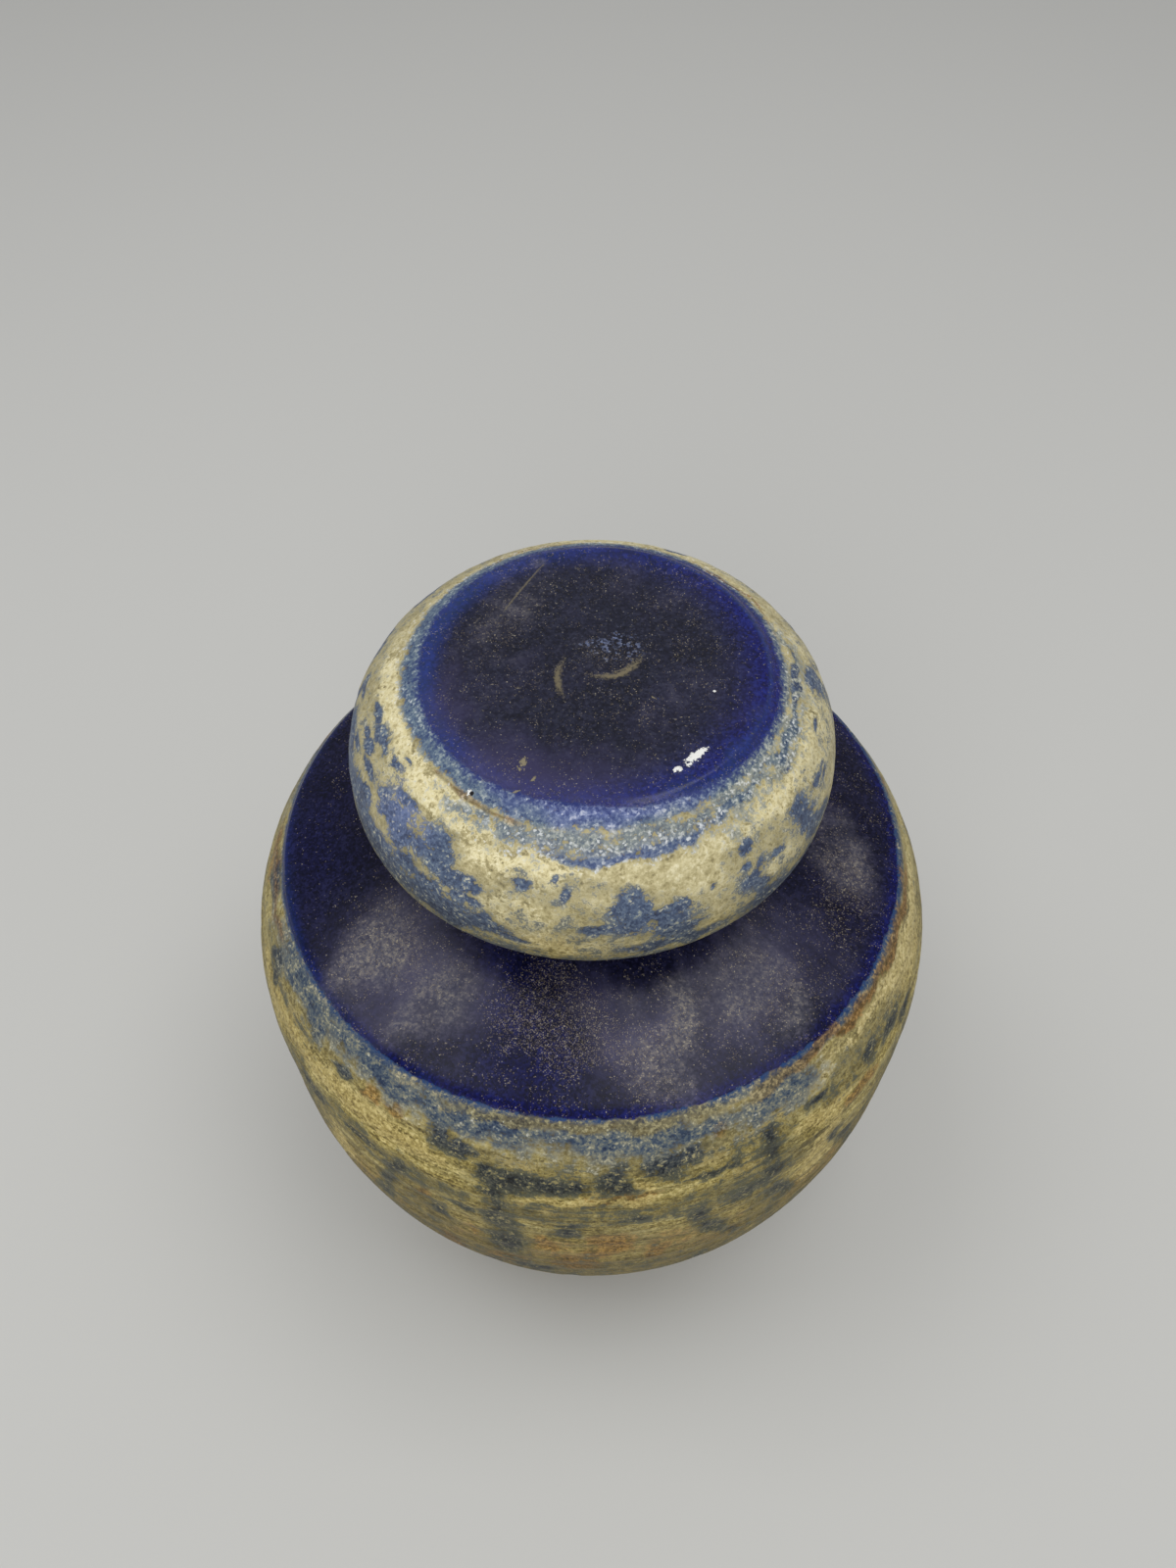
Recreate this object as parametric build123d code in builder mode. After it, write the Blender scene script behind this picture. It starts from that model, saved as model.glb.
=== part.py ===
"""Squat lidded ceramic jar: a wheel-thrown jar with a hidden collar, and a hollow cap lid that drops over it.

Millimetres, +Z up. The origin is the centre of the circle on which the foot ring stands.
"""

from build123d import *
from math import asin, atan2, cos, degrees, hypot, radians, sin, sqrt
import os

# Jar body: one round belly, upright for a short stretch, turned in to a crisp shoulder edge.
belly_radius = 60.0
lower_belly_height = 58.0
belly_side_height = 15.0
upper_belly_height = 23.3
shoulder_draw_in = 8.0
shoulder_rise = 6.7
wall = 5.0
floor_thickness = 6.0

# Foot: a turned ring with a recessed underside.
foot_radius = 37.0
foot_step = 2.5
foot_height = 4.0
foot_ring_width = 6.0
foot_ring_taper = 1.0
foot_recess = 3.0

# Neck: a short collar that the lid hides, standing inside a flat ring that the lid rests on.
neck_radius = 22.3
neck_wall = 4.3
neck_height = 11.0
seat_margin = 0.5

# Lid: a hollow cap, flat on top, bevelled, bulging, and drawn in again to its rim.
lid_clearance = 0.7
lid_rim_width = 5.0
lid_tuck_height = 15.4
lid_tuck_radius = 4.5
lid_bulge_height = 2.1
lid_side_height = 14.2
lid_side_width = 8.2
lid_bevel_drop = 2.3
lid_bevel_width = 3.8
lid_top_radius = 25.4
lid_wall = 4.6

# Edges: rounded under the glaze where a hand meets them, and cut to a small bevel on bare clay.
shoulder_edge_rounding = 1.2
lid_edge_rounding = 1.2
lip_rounding_share = 0.42
foot_bevel = 0.8
rim_bevel = 0.5

# Rings and levels of the jar's outside, from the foot up.
belly_foot_radius = foot_radius + foot_step
belly_bottom = foot_height + lower_belly_height
belly_top = belly_bottom + belly_side_height
shoulder_edge_radius = belly_radius - shoulder_draw_in
shoulder_edge_height = belly_top + upper_belly_height
seat_height = shoulder_edge_height + shoulder_rise
neck_top = seat_height + neck_height
mouth_radius = neck_radius - neck_wall

# Rings and levels of the lid, from its rim up. The seat is a little wider than the rim.
rim_inner_radius = neck_radius + lid_clearance
rim_outer_radius = rim_inner_radius + lid_rim_width
seat_radius = rim_outer_radius + seat_margin
lid_lower_level = seat_height + lid_tuck_height
lid_upper_level = lid_lower_level + lid_bulge_height
lid_bevel_level = lid_upper_level + lid_side_height
lid_top = lid_bevel_level + lid_bevel_drop
lid_bevel_radius = lid_top_radius + lid_bevel_width
lid_radius = lid_bevel_radius + lid_side_width

# The hollow runs parallel to the outside, one wall further in.
floor_level = foot_recess + floor_thickness
inner_radius = belly_radius - wall
inner_edge_radius = shoulder_edge_radius - wall
cap_radius = lid_radius - lid_wall
cap_level = lid_top - lid_wall


def arc_radius(draw_in, drop):
    """Radius of the arc that starts upright and draws in by one distance over another."""
    return (draw_in**2 + drop**2) / (draw_in + draw_in)


def inner_shoulder_level(radius):
    """Height of the shoulder's underside, one wall below the cone of its upper side."""
    run = shoulder_edge_radius - seat_radius
    drop = wall * hypot(run, shoulder_rise) / run
    return shoulder_edge_height + (shoulder_edge_radius - radius) * shoulder_rise / run - drop


def ring_edges(part, radius, level):
    """The circular edges of a part that have a given radius and lie at a given height."""
    near = wall / 100
    circles = part.edges().filter_by(GeomType.CIRCLE)
    return circles.filter_by(
        lambda edge: abs(edge.radius - radius) < near and abs(edge.center().Z - level) < near
    )


# The outside of the jar, turned from one half section.
with BuildPart() as jar:
    with BuildSketch(Plane.XZ):
        with BuildLine():
            recess_radius = foot_radius - foot_ring_width - foot_ring_taper
            underside = Line((0, foot_recess), (recess_radius, foot_recess))
            recess_side = Line(underside @ 1, (foot_radius - foot_ring_width, 0))
            ring_base = Line(recess_side @ 1, (foot_radius, 0))
            ring_side = Line(ring_base @ 1, (foot_radius, foot_height))
            ring_step = Line(ring_side @ 1, (belly_foot_radius, foot_height))
            lower_belly = TangentArc((belly_radius, belly_bottom), ring_step @ 1, tangent=(0, -1))
            belly_side = Line((belly_radius, belly_bottom), (belly_radius, belly_top))
            upper_belly = TangentArc(
                belly_side @ 1, (shoulder_edge_radius, shoulder_edge_height), tangent=(0, 1)
            )
            shoulder = Line(upper_belly @ 1, (seat_radius, seat_height))
            seat = Line(shoulder @ 1, (neck_radius, seat_height))
            neck_side = Line(seat @ 1, (neck_radius, neck_top))
            lip = Line(neck_side @ 1, (0, neck_top))
            axis_side = Line(lip @ 1, underside @ 0)
        make_face()
    revolve(axis=Axis.Z)

    # The hollow, from the floor up through the mouth.
    with BuildSketch(Plane.XZ):
        with BuildLine():
            inner_arc = arc_radius(belly_radius - belly_foot_radius, belly_bottom - foot_height) - wall
            floor_radius = inner_radius - inner_arc + sqrt(inner_arc**2 - (belly_bottom - floor_level) ** 2)
            floor = Line((0, floor_level), (floor_radius, floor_level))
            inner_lower = TangentArc((inner_radius, belly_bottom), floor @ 1, tangent=(0, -1))
            inner_side = Line((inner_radius, belly_bottom), (inner_radius, belly_top))
            inner_upper = TangentArc(
                inner_side @ 1,
                (inner_edge_radius, inner_shoulder_level(inner_edge_radius)),
                tangent=(0, 1),
            )
            inner_shoulder = Line(inner_upper @ 1, (mouth_radius, inner_shoulder_level(mouth_radius)))
            mouth_side = Line(inner_shoulder @ 1, (mouth_radius, neck_top + wall))
            mouth_over = Line(mouth_side @ 1, (0, neck_top + wall))
            hollow_axis = Line(mouth_over @ 1, floor @ 0)
        make_face()
    revolve(axis=Axis.Z, mode=Mode.SUBTRACT)

    fillet(ring_edges(jar, shoulder_edge_radius, shoulder_edge_height), shoulder_edge_rounding)
    fillet(ring_edges(jar, neck_radius, neck_top), lip_rounding_share * neck_wall)
    fillet(ring_edges(jar, mouth_radius, neck_top), lip_rounding_share * neck_wall)
    chamfer(ring_edges(jar, foot_radius, 0), foot_bevel)

# The lid's tuck: an arc below the bulge, then a cone that meets the rim as the arc's tangent.
tuck_centre_radius = lid_radius - lid_tuck_radius
tuck_run = tuck_centre_radius - rim_outer_radius
tuck_reach = hypot(tuck_run, lid_tuck_height)
tuck_angle = atan2(tuck_run, lid_tuck_height) + asin(lid_tuck_radius / tuck_reach)
cap_cone_height = (cap_radius - rim_inner_radius) * cos(tuck_angle) / sin(tuck_angle)

# The lid, turned as a cap: its hollow clears the neck, and its flat rim rests on the seat.
with BuildPart() as lid:
    with BuildSketch(Plane.XZ):
        with BuildLine():
            lid_disc = Line((0, lid_top), (lid_top_radius, lid_top))
            lid_bevel = Line(lid_disc @ 1, (lid_bevel_radius, lid_bevel_level))
            lid_side = TangentArc((lid_radius, lid_upper_level), lid_bevel @ 1, tangent=(0, 1))
            lid_bulge = Line((lid_radius, lid_upper_level), (lid_radius, lid_lower_level))
            lid_tuck = CenterArc(
                (tuck_centre_radius, lid_lower_level),
                lid_tuck_radius,
                start_angle=0,
                arc_size=-degrees(tuck_angle),
            )
            lid_cone = Line(lid_tuck @ 1, (rim_outer_radius, seat_height))
            lid_rim = Line(lid_cone @ 1, (rim_inner_radius, seat_height))
            cap_cone = Line(lid_rim @ 1, (cap_radius, seat_height + cap_cone_height))
            cap_bulge = Line(cap_cone @ 1, (cap_radius, lid_upper_level))
            cap_rise = cap_level - lid_upper_level
            cap_side = TangentArc(cap_bulge @ 1, (cap_radius - cap_rise, cap_level), tangent=(0, 1))
            cap_roof = Line(cap_side @ 1, (0, cap_level))
            lid_axis = Line(cap_roof @ 1, lid_disc @ 0)
        make_face()
    revolve(axis=Axis.Z)

    fillet(ring_edges(lid, lid_top_radius, lid_top), lid_edge_rounding)
    chamfer(ring_edges(lid, rim_outer_radius, seat_height), rim_bevel)
    chamfer(ring_edges(lid, rim_inner_radius, seat_height), rim_bevel)

jar.part.label = "jar"
lid.part.label = "lid"

os.makedirs("parts", exist_ok=True)
export_step(jar.part, "parts/jar.step")
export_step(lid.part, "parts/lid.step")

print("jar", round(belly_radius + belly_radius, 1), "mm wide,", round(lid_top, 1), "mm tall with its lid")
print("mouth", round(mouth_radius + mouth_radius, 1), "mm wide, collar", neck_height, "mm high")
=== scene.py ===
# %% [markdown]
# A squat wheel-thrown jar with a cap lid, dressed for its picture.
# The jar and the lid were turned on a wheel, so each is one outline spun round an axis.
# What makes the real one worth looking at is its glaze: near-black cobalt on the flat tops,
# a blue crystalline band where it thins over each edge, and broken ochre and slate below.
# This lesson builds the two turned forms first, then lays the glaze on them layer by layer.

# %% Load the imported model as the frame
from functools import reduce
from math import atan2, ceil, cos, degrees, hypot, pi, radians, sin, tan
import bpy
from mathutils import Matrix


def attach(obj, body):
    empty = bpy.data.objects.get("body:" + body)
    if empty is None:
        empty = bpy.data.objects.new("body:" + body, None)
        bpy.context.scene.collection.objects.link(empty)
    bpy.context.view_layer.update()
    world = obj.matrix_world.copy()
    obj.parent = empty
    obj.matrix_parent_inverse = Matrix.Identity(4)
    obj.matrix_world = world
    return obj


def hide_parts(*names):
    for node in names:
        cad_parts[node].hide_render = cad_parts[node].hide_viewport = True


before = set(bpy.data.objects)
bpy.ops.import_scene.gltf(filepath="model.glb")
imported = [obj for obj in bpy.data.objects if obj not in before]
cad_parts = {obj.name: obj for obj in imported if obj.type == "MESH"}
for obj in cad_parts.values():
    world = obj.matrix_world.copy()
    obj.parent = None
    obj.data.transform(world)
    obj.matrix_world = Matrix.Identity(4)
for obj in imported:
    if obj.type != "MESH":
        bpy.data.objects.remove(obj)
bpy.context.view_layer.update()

from types import SimpleNamespace as Sizes

import bpy
import numpy as np
from mathutils import Vector, noise

# %% [markdown]
# The picture was taken by hand from close above the front of the jar, looking down at 52 degrees.
# The lens is wide, so the lid looks large against the belly. The place and the angle are worked
# out from the ellipses of the lid and the shoulder. The long side of the frame is its height.

# %% Camera
CAMERA_PLACE = (-0.00064, -0.1174, 0.26521)
CAMERA_DIP = 52.41
CAMERA_LENS = 27.05
NEAREST = 0.005


def put(name, data):
    """Places a new object with some data in the scene."""
    made = bpy.data.objects.new(name, data)
    bpy.context.scene.collection.objects.link(made)
    return made


camera_data = bpy.data.cameras.new("camera")
camera_data.lens = CAMERA_LENS
camera_data.sensor_width = 36
camera_data.clip_start = NEAREST
camera = put("camera", camera_data)
camera.location = CAMERA_PLACE
camera.rotation_euler = (radians(90 - CAMERA_DIP), 0, 0)
bpy.context.scene.camera = camera
bpy.context.scene.view_settings.view_transform = "Standard"
print("camera", CAMERA_PLACE, "looks down at", CAMERA_DIP, "degrees")

# %% [markdown]
# Every node tree below is wired with the same few helpers. A wire is the output of a node, and a
# sum can be written on wires as on numbers: each sign adds the node that does it. An input is
# either a value or a wire, so a tree reads from top to bottom like a recipe.


# %% Helpers for node trees
def sign(operation):
    """What a sign does with a wire on its left, and with a wire on its right."""
    return lambda self, other: sums(operation, self, other), lambda self, other: sums(operation, other, self)


class Wire:
    """A node's output. Sums can be written on it, and [name] is another output of its node."""

    def __init__(self, socket):
        self.socket, self.tree = socket, socket.id_data

    def __getitem__(self, name):
        return Wire(self.socket.node.outputs[name])

    __add__, __radd__ = sign("ADD")
    __sub__, __rsub__ = sign("SUBTRACT")
    __mul__, __rmul__ = sign("MULTIPLY")
    __truediv__, __rtruediv__ = sign("DIVIDE")


def feed(value, socket):
    """Joins a wire to an input, or sets the input's own value."""
    if isinstance(value, Wire):
        value.tree.links.new(value.socket, socket)
    else:
        socket.default_value = value


def new_node(tree, kind, inputs=(), **settings):
    """Adds a node to a tree, with its settings and its inputs, and returns its first output."""
    made = tree.nodes.new(kind)
    for name, value in settings.items():
        setattr(made, name, value)
    for name, value in dict(inputs).items():
        feed(value, made.inputs[name])
    return Wire(made.outputs[0])


def tree_of(values):
    """The tree that the wires among some values belong to."""
    return next(value.tree for value in values if isinstance(value, Wire))


def sums(operation, *values):
    """One sum on one or two values."""
    return new_node(tree_of(values), "ShaderNodeMath", dict(enumerate(values)), operation=operation)


def vector(operation, first, second=None):
    """One sum on vectors. A length comes out as a value."""
    inputs = {0: first}
    if second is not None:
        inputs["Scale" if operation == "SCALE" else 1] = second
    result = new_node(first.tree, "ShaderNodeVectorMath", inputs, operation=operation)
    return result["Value"] if operation == "LENGTH" else result


def spun(place, angle):
    """A place turned round the upright axis."""
    inputs = {"Vector": place, "Axis": (0, 0, 1), "Angle": angle}
    return new_node(place.tree, "ShaderNodeVectorRotate", inputs, rotation_type="AXIS_ANGLE")


def blend(share, under, over):
    """The colour under another one, which covers it by a share."""
    return new_node(share.tree, "ShaderNodeMix", {0: share, 6: under, 7: over}, data_type="RGBA")[2]


def shift(value, low, high, out_low=0.0, out_high=1.0, smooth=False):
    """Stretches a range of values onto another, and holds it at the ends."""
    inputs = dict(enumerate((value, low, high, out_low, out_high)))
    kind = "SMOOTHSTEP" if smooth else "LINEAR"
    return new_node(value.tree, "ShaderNodeMapRange", inputs, interpolation_type=kind)


print("node helpers ready")


# %% Helpers for colours and materials
def colour(red, green, blue):
    """A colour as a screen shows it, 0 to 255, made ready for a shader."""
    parts = [c / 255 for c in (red, green, blue)]
    return tuple(c / 12.92 if c <= 0.04045 else ((c + 0.055) / 1.055) ** 2.4 for c in parts) + (1.0,)


def tones(value, *stops):
    """A colour that runs through stops, each a place from 0 to 1 and the colour there."""
    ramp = new_node(value.tree, "ShaderNodeValToRGB", {"Fac": value})
    row = ramp.socket.node.color_ramp.elements
    row[0].position, row[1].position = stops[0][0], stops[-1][0]
    for place, *_ in stops[1:-1]:
        row.new(place)
    for element, (_, *shade) in zip(row, stops):
        element.color = colour(*shade)
    return ramp


def new_material(name, inputs=()):
    """A new material, its node tree and the inputs of its shader, some of them set."""
    made = bpy.data.materials.new(name)
    made.use_nodes = True
    shader = made.node_tree.nodes["Principled BSDF"]
    for title, value in dict(inputs).items():
        feed(value, shader.inputs[title])
    return made, made.node_tree, shader.inputs


print("material helpers ready")

# %% [markdown]
# The studio is a pale floor, a dim even sky and three large soft lamps. Two hang above, to the
# left and the right, where the sloping shoulder mirrors them and the flat lid doesn't. A third
# fills in from the front. Together they light an upward face at about one, so colours render
# about as they are written.

# %% Floor, sky and lamps
FLOOR_HALF = 3.0
FLOOR_COLOUR = colour(208, 208, 205)
SKY_LEVEL = 0.40
LAMP_AIM = Vector((0, 0, 0.08))

floor_mesh = bpy.data.meshes.new("floor")
floor_corners = [(x * FLOOR_HALF, y * FLOOR_HALF, 0) for x, y in ((-1, -1), (1, -1), (1, 1), (-1, 1))]
floor_mesh.from_pydata(floor_corners, [], [(0, 1, 2, 3)])
floor = put("floor", floor_mesh)
floor_mesh.materials.append(new_material(
    "floor_paint", {"Base Color": FLOOR_COLOUR, "Roughness": 0.9, "Specular IOR Level": 0.1})[0])

sky = bpy.data.worlds.new("sky")
bpy.context.scene.world = sky
sky.use_nodes = True
sky_inputs = sky.node_tree.nodes["Background"].inputs
feed((1.0, 1.0, 1.0, 1.0), sky_inputs["Color"])
feed(SKY_LEVEL, sky_inputs["Strength"])

for name, place, width, watts in (("lamp_left", (-0.45, 0.02, 1.00), 0.50, 1.8),
                                  ("lamp_right", (0.26, -0.05, 1.05), 0.60, 2.9),
                                  ("lamp_front", (-0.20, -0.95, 0.70), 0.80, 3.6)):
    lamp_data = bpy.data.lights.new(name, "AREA")
    lamp_data.size = width
    lamp_data.energy = watts
    lamp = put(name, lamp_data)
    lamp.location = place
    lamp.rotation_euler = (LAMP_AIM - Vector(place)).to_track_quat("-Z", "Y").to_euler()
print("studio ready, sky at", SKY_LEVEL)

# %% [markdown]
# The sizes are the ones that the jar was turned to, in millimetres, and they match the packed
# model. The outline runs from the axis under the foot, up the outside, over the lip and down the
# inside to the axis again. The lid's outline starts under its roof and ends at the middle of its
# flat top, so in both of them the clay lies on the left of the line.

# %% Sizes of the two turned forms
MM = 0.001
FOOT = Sizes(recess=3.0, inner=31.0, outer=37.0, height=4.0, step=2.5, taper=1.0, bevel=0.8)
BELLY = Sizes(radius=60.0, bottom=62.0, top=77.0)
SHOULDER = Sizes(radius=52.0, height=100.3, rounding=1.2)
SEAT = Sizes(radius=28.5, height=107.0)
NECK = Sizes(radius=22.3, top=118.0, mouth=18.0, lip=1.8)
WALL = Sizes(jar=5.0, lid=4.6, floor=9.0)
LID = Sizes(top=141.0, disc=25.4, bevel=29.2, bevel_level=138.7, radius=37.4, bulge_top=124.5,
            bulge_bottom=122.4, tuck=4.5, rim_outer=28.0, rim_inner=23.0, rim_bevel=0.5, rounding=1.2,
            bevel_rounding=1.5)
print("belly", 2 * BELLY.radius, "mm wide, top of the lid at", LID.top, "mm")

# %% Helpers for outlines
FINE = 0.05


def line(start, end):
    """A straight run of the outline, in fine steps."""
    count = max(2, ceil(hypot(end[0] - start[0], end[1] - start[1]) / FINE))
    return np.linspace(start, end, count)


def arc_radius(draw_in, rise):
    """Radius of the arc that starts upright and draws in by one distance over another."""
    return (draw_in**2 + rise**2) / (2 * draw_in)


def upright_arc(start, end):
    """An arc that leaves its start upright and draws in to its end."""
    draw_in, rise = start[0] - end[0], end[1] - start[1]
    radius = arc_radius(draw_in, rise)
    turn = atan2(rise, radius - draw_in)
    angles = np.linspace(0, turn, max(2, ceil(abs(turn) * radius / FINE)))
    return np.stack([start[0] - radius + radius * np.cos(angles), start[1] + radius * np.sin(angles)], 1)


def evened(run, step, edge=0.0):
    """The same run with its points a step apart, and one more close to each end."""
    along = np.concatenate([[0], np.cumsum(np.hypot(*np.diff(run, axis=0).T))])
    stops = np.linspace(0, along[-1], max(1, round(along[-1] / step)) + 1)
    if edge and along[-1] > 3 * edge:
        stops = np.unique(np.concatenate([stops, [edge, along[-1] - edge]]))
    return np.stack([np.interp(stops, along, run[:, i]) for i in (0, 1)], 1)


def rounded(first, second, radius):
    """Cuts a corner between two runs back and puts an arc there; returns the three runs."""
    before, after = first[-1] - first[-2], second[1] - second[0]
    step_before, step_after = np.hypot(*before), np.hypot(*after)
    before, after = before / step_before, after / step_after
    turn = atan2(before[0] * after[1] - before[1] * after[0], before @ after)
    cut_back = radius * tan(abs(turn) / 2)
    first = first[:-max(1, round(cut_back / step_before))]
    second = second[max(1, round(cut_back / step_after)):]
    side = 1 if turn > 0 else -1
    centre = first[-1] + side * radius * np.array([-before[1], before[0]])
    spoke = first[-1] - centre
    arc = [centre + (spoke[0] * cos(a) - spoke[1] * sin(a), spoke[0] * sin(a) + spoke[1] * cos(a))
           for a in np.linspace(0, turn, 5)]
    arc[-1] = second[0]
    return first, np.array(arc), second


print("outline helpers ready, fine step", FINE, "mm")

# %% [markdown]
# An outline is a list of runs. Each run has the spacing of its rings, the finish that it gets and
# how deep the potter's fingers ridged it. Visible runs have close rings, because the glaze relief
# is cut into this mesh, and hidden ones have wide rings. Bare clay is left where pieces meet.

# %% The jar's outline
GLAZE, INSIDE, CLAY = 0, 1, 2

recess_edge = (FOOT.inner - FOOT.taper, FOOT.recess)
foot_out = FOOT.outer + FOOT.step
belly_low, belly_high = (BELLY.radius, BELLY.bottom), (BELLY.radius, BELLY.top)
shoulder_edge = (SHOULDER.radius, SHOULDER.height)
seat_edge, neck_foot = (SEAT.radius, SEAT.height), (NECK.radius, SEAT.height)
neck_rim, mouth_rim = (NECK.radius, NECK.top), (NECK.mouth, NECK.top)
inner_belly = BELLY.radius - WALL.jar
inner_low, inner_high = (inner_belly, BELLY.bottom), (inner_belly, BELLY.top)
slope = (SEAT.height - SHOULDER.height) / (SHOULDER.radius - SEAT.radius)
under_drop = WALL.jar * hypot(1, slope)
inner_edge = (SHOULDER.radius - WALL.jar, SHOULDER.height + WALL.jar * slope - under_drop)
mouth_under = (NECK.mouth, SHOULDER.height + (SHOULDER.radius - NECK.mouth) * slope - under_drop)
inner_arc = arc_radius(BELLY.radius - foot_out, BELLY.bottom - FOOT.height) - WALL.jar
floor_edge = (inner_belly - inner_arc + (inner_arc**2 - (BELLY.bottom - WALL.floor)**2) ** 0.5, WALL.floor)

belly_up, shoulder_round, shoulder_run = rounded(
    upright_arc(belly_high, shoulder_edge), line(shoulder_edge, seat_edge), SHOULDER.rounding)
lower_belly = upright_arc(belly_low, (foot_out, FOOT.height))[::-1]
low_cut = len(lower_belly) * 2 // 5
neck_up, lip_out, lip_top = rounded(line(neck_foot, neck_rim), line(neck_rim, mouth_rim), NECK.lip)
lip_top, lip_in, mouth_down = rounded(lip_top, line(mouth_rim, mouth_under), NECK.lip)


def straight(points, steps, finish):
    """Straight runs from point to point without ridges, each with the spacing of its rings."""
    return [(line(a, b), step, finish, 0.0) for a, b, step in zip(points, points[1:], steps)]


jar_runs = [
    *straight([(0, FOOT.recess), recess_edge, (FOOT.inner, 0), (FOOT.outer - FOOT.bevel, 0),
               (FOOT.outer, FOOT.bevel), (FOOT.outer, FOOT.height), (foot_out, FOOT.height)],
              [5.0, 2.0, 3.0, 2.0, 2.0, 1.5], CLAY),
    (lower_belly[:low_cut + 1], 1.25, GLAZE, 0.14),
    (lower_belly[low_cut:], 0.9, GLAZE, 0.14),
    (line(belly_low, belly_high), 0.9, GLAZE, 0.14),
    (belly_up, 0.8, GLAZE, 0.09),
    (shoulder_round, 0.5, GLAZE, 0.0),
    (shoulder_run, 0.8, GLAZE, 0.03),
    (line(seat_edge, neck_foot), 3.0, CLAY, 0.0),
    (neck_up, 4.0, CLAY, 0.0),
    (lip_out, 0.6, INSIDE, 0.0),
    (lip_top, 1.0, INSIDE, 0.0),
    (lip_in, 0.6, INSIDE, 0.0),
    (mouth_down, 4.0, INSIDE, 0.0),
    (line(mouth_under, inner_edge), 3.5, INSIDE, 0.2),
    (upright_arc(inner_high, inner_edge)[::-1], 3.0, INSIDE, 0.3),
    (line(inner_high, inner_low), 2.5, INSIDE, 0.35),
    (upright_arc(inner_low, floor_edge), 2.7, INSIDE, 0.35),
    (line(floor_edge, (0, WALL.floor)), 3.0, INSIDE, 0.3),
]
print("jar outline has", len(jar_runs), "runs")

# %% The lid's outline
tuck_centre = LID.radius - LID.tuck
tuck_run, tuck_rise = tuck_centre - LID.rim_outer, LID.bulge_bottom - SEAT.height
tuck_turn = atan2(tuck_run, tuck_rise) + np.arcsin(LID.tuck / hypot(tuck_run, tuck_rise))
tuck_angles = np.linspace(-tuck_turn, 0, 60)
tuck = np.stack([tuck_centre + LID.tuck * np.cos(tuck_angles),
                 LID.bulge_bottom + LID.tuck * np.sin(tuck_angles)], 1)
cap_radius, cap_level = LID.radius - WALL.lid, LID.top - WALL.lid
cap_edge = (cap_radius - (cap_level - LID.bulge_top), cap_level)
cap_high = (cap_radius, LID.bulge_top)
cap_low = (cap_radius, SEAT.height + (cap_radius - LID.rim_inner) / tan(tuck_turn))
rim_inner, rim_outer = (LID.rim_inner, SEAT.height), (LID.rim_outer, SEAT.height)
bulge_low, bulge_high = (LID.radius, LID.bulge_bottom), (LID.radius, LID.bulge_top)
bevel_edge, disc_edge = (LID.bevel, LID.bevel_level), (LID.disc, LID.top)

rim_in, rim_round_in, rim_flat = rounded(line(cap_low, rim_inner), line(rim_inner, rim_outer), LID.rim_bevel)
rim_flat, rim_round_out, rim_out = rounded(rim_flat, line(rim_outer, tuck[0]), LID.rim_bevel)
lid_side, bevel_round, lid_bevel = rounded(
    upright_arc(bulge_high, bevel_edge), line(bevel_edge, disc_edge), LID.bevel_rounding)
lid_bevel, disc_round, lid_disc = rounded(lid_bevel, line(disc_edge, (0, LID.top)), LID.rounding)
disc_cut = len(lid_disc) * 2 // 3

lid_runs = [
    (line((0, cap_level), cap_edge), 2.5, INSIDE, 0.25),
    (upright_arc(cap_high, cap_edge)[::-1], 2.2, INSIDE, 0.25),
    (line(cap_high, cap_low), 2.0, INSIDE, 0.2),
    (rim_in, 2.5, INSIDE, 0.1),
    (rim_round_in, 0.3, CLAY, 0.0),
    (rim_flat, 2.0, CLAY, 0.0),
    (rim_round_out, 0.3, CLAY, 0.0),
    (rim_out, 0.7, GLAZE, 0.05),
    (tuck, 0.55, GLAZE, 0.05),
    (line(bulge_low, bulge_high), 0.55, GLAZE, 0.08),
    (lid_side, 0.5, GLAZE, 0.08),
    (bevel_round, 0.3, GLAZE, 0.0),
    (lid_bevel, 0.45, GLAZE, 0.0),
    (disc_round, 0.3, GLAZE, 0.0),
    (lid_disc[:disc_cut], 0.42, GLAZE, 0.0),
    (lid_disc[disc_cut:], 0.32, GLAZE, 0.0),
]
print("lid outline has", len(lid_runs), "runs; its tuck turns", round(degrees(tuck_turn), 1), "degrees")

# %% [markdown]
# The outline becomes a small mesh, one vertex for each ring. With each vertex go the length run
# along the surface from the glazed edge, the outward direction, the depth of the ridges and the
# finish. The node tree of the wheel reads them ring by ring.

# %% Outline to a line of vertices
WIDE_STEP = 1.9
EDGE_STEP = 0.35


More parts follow.
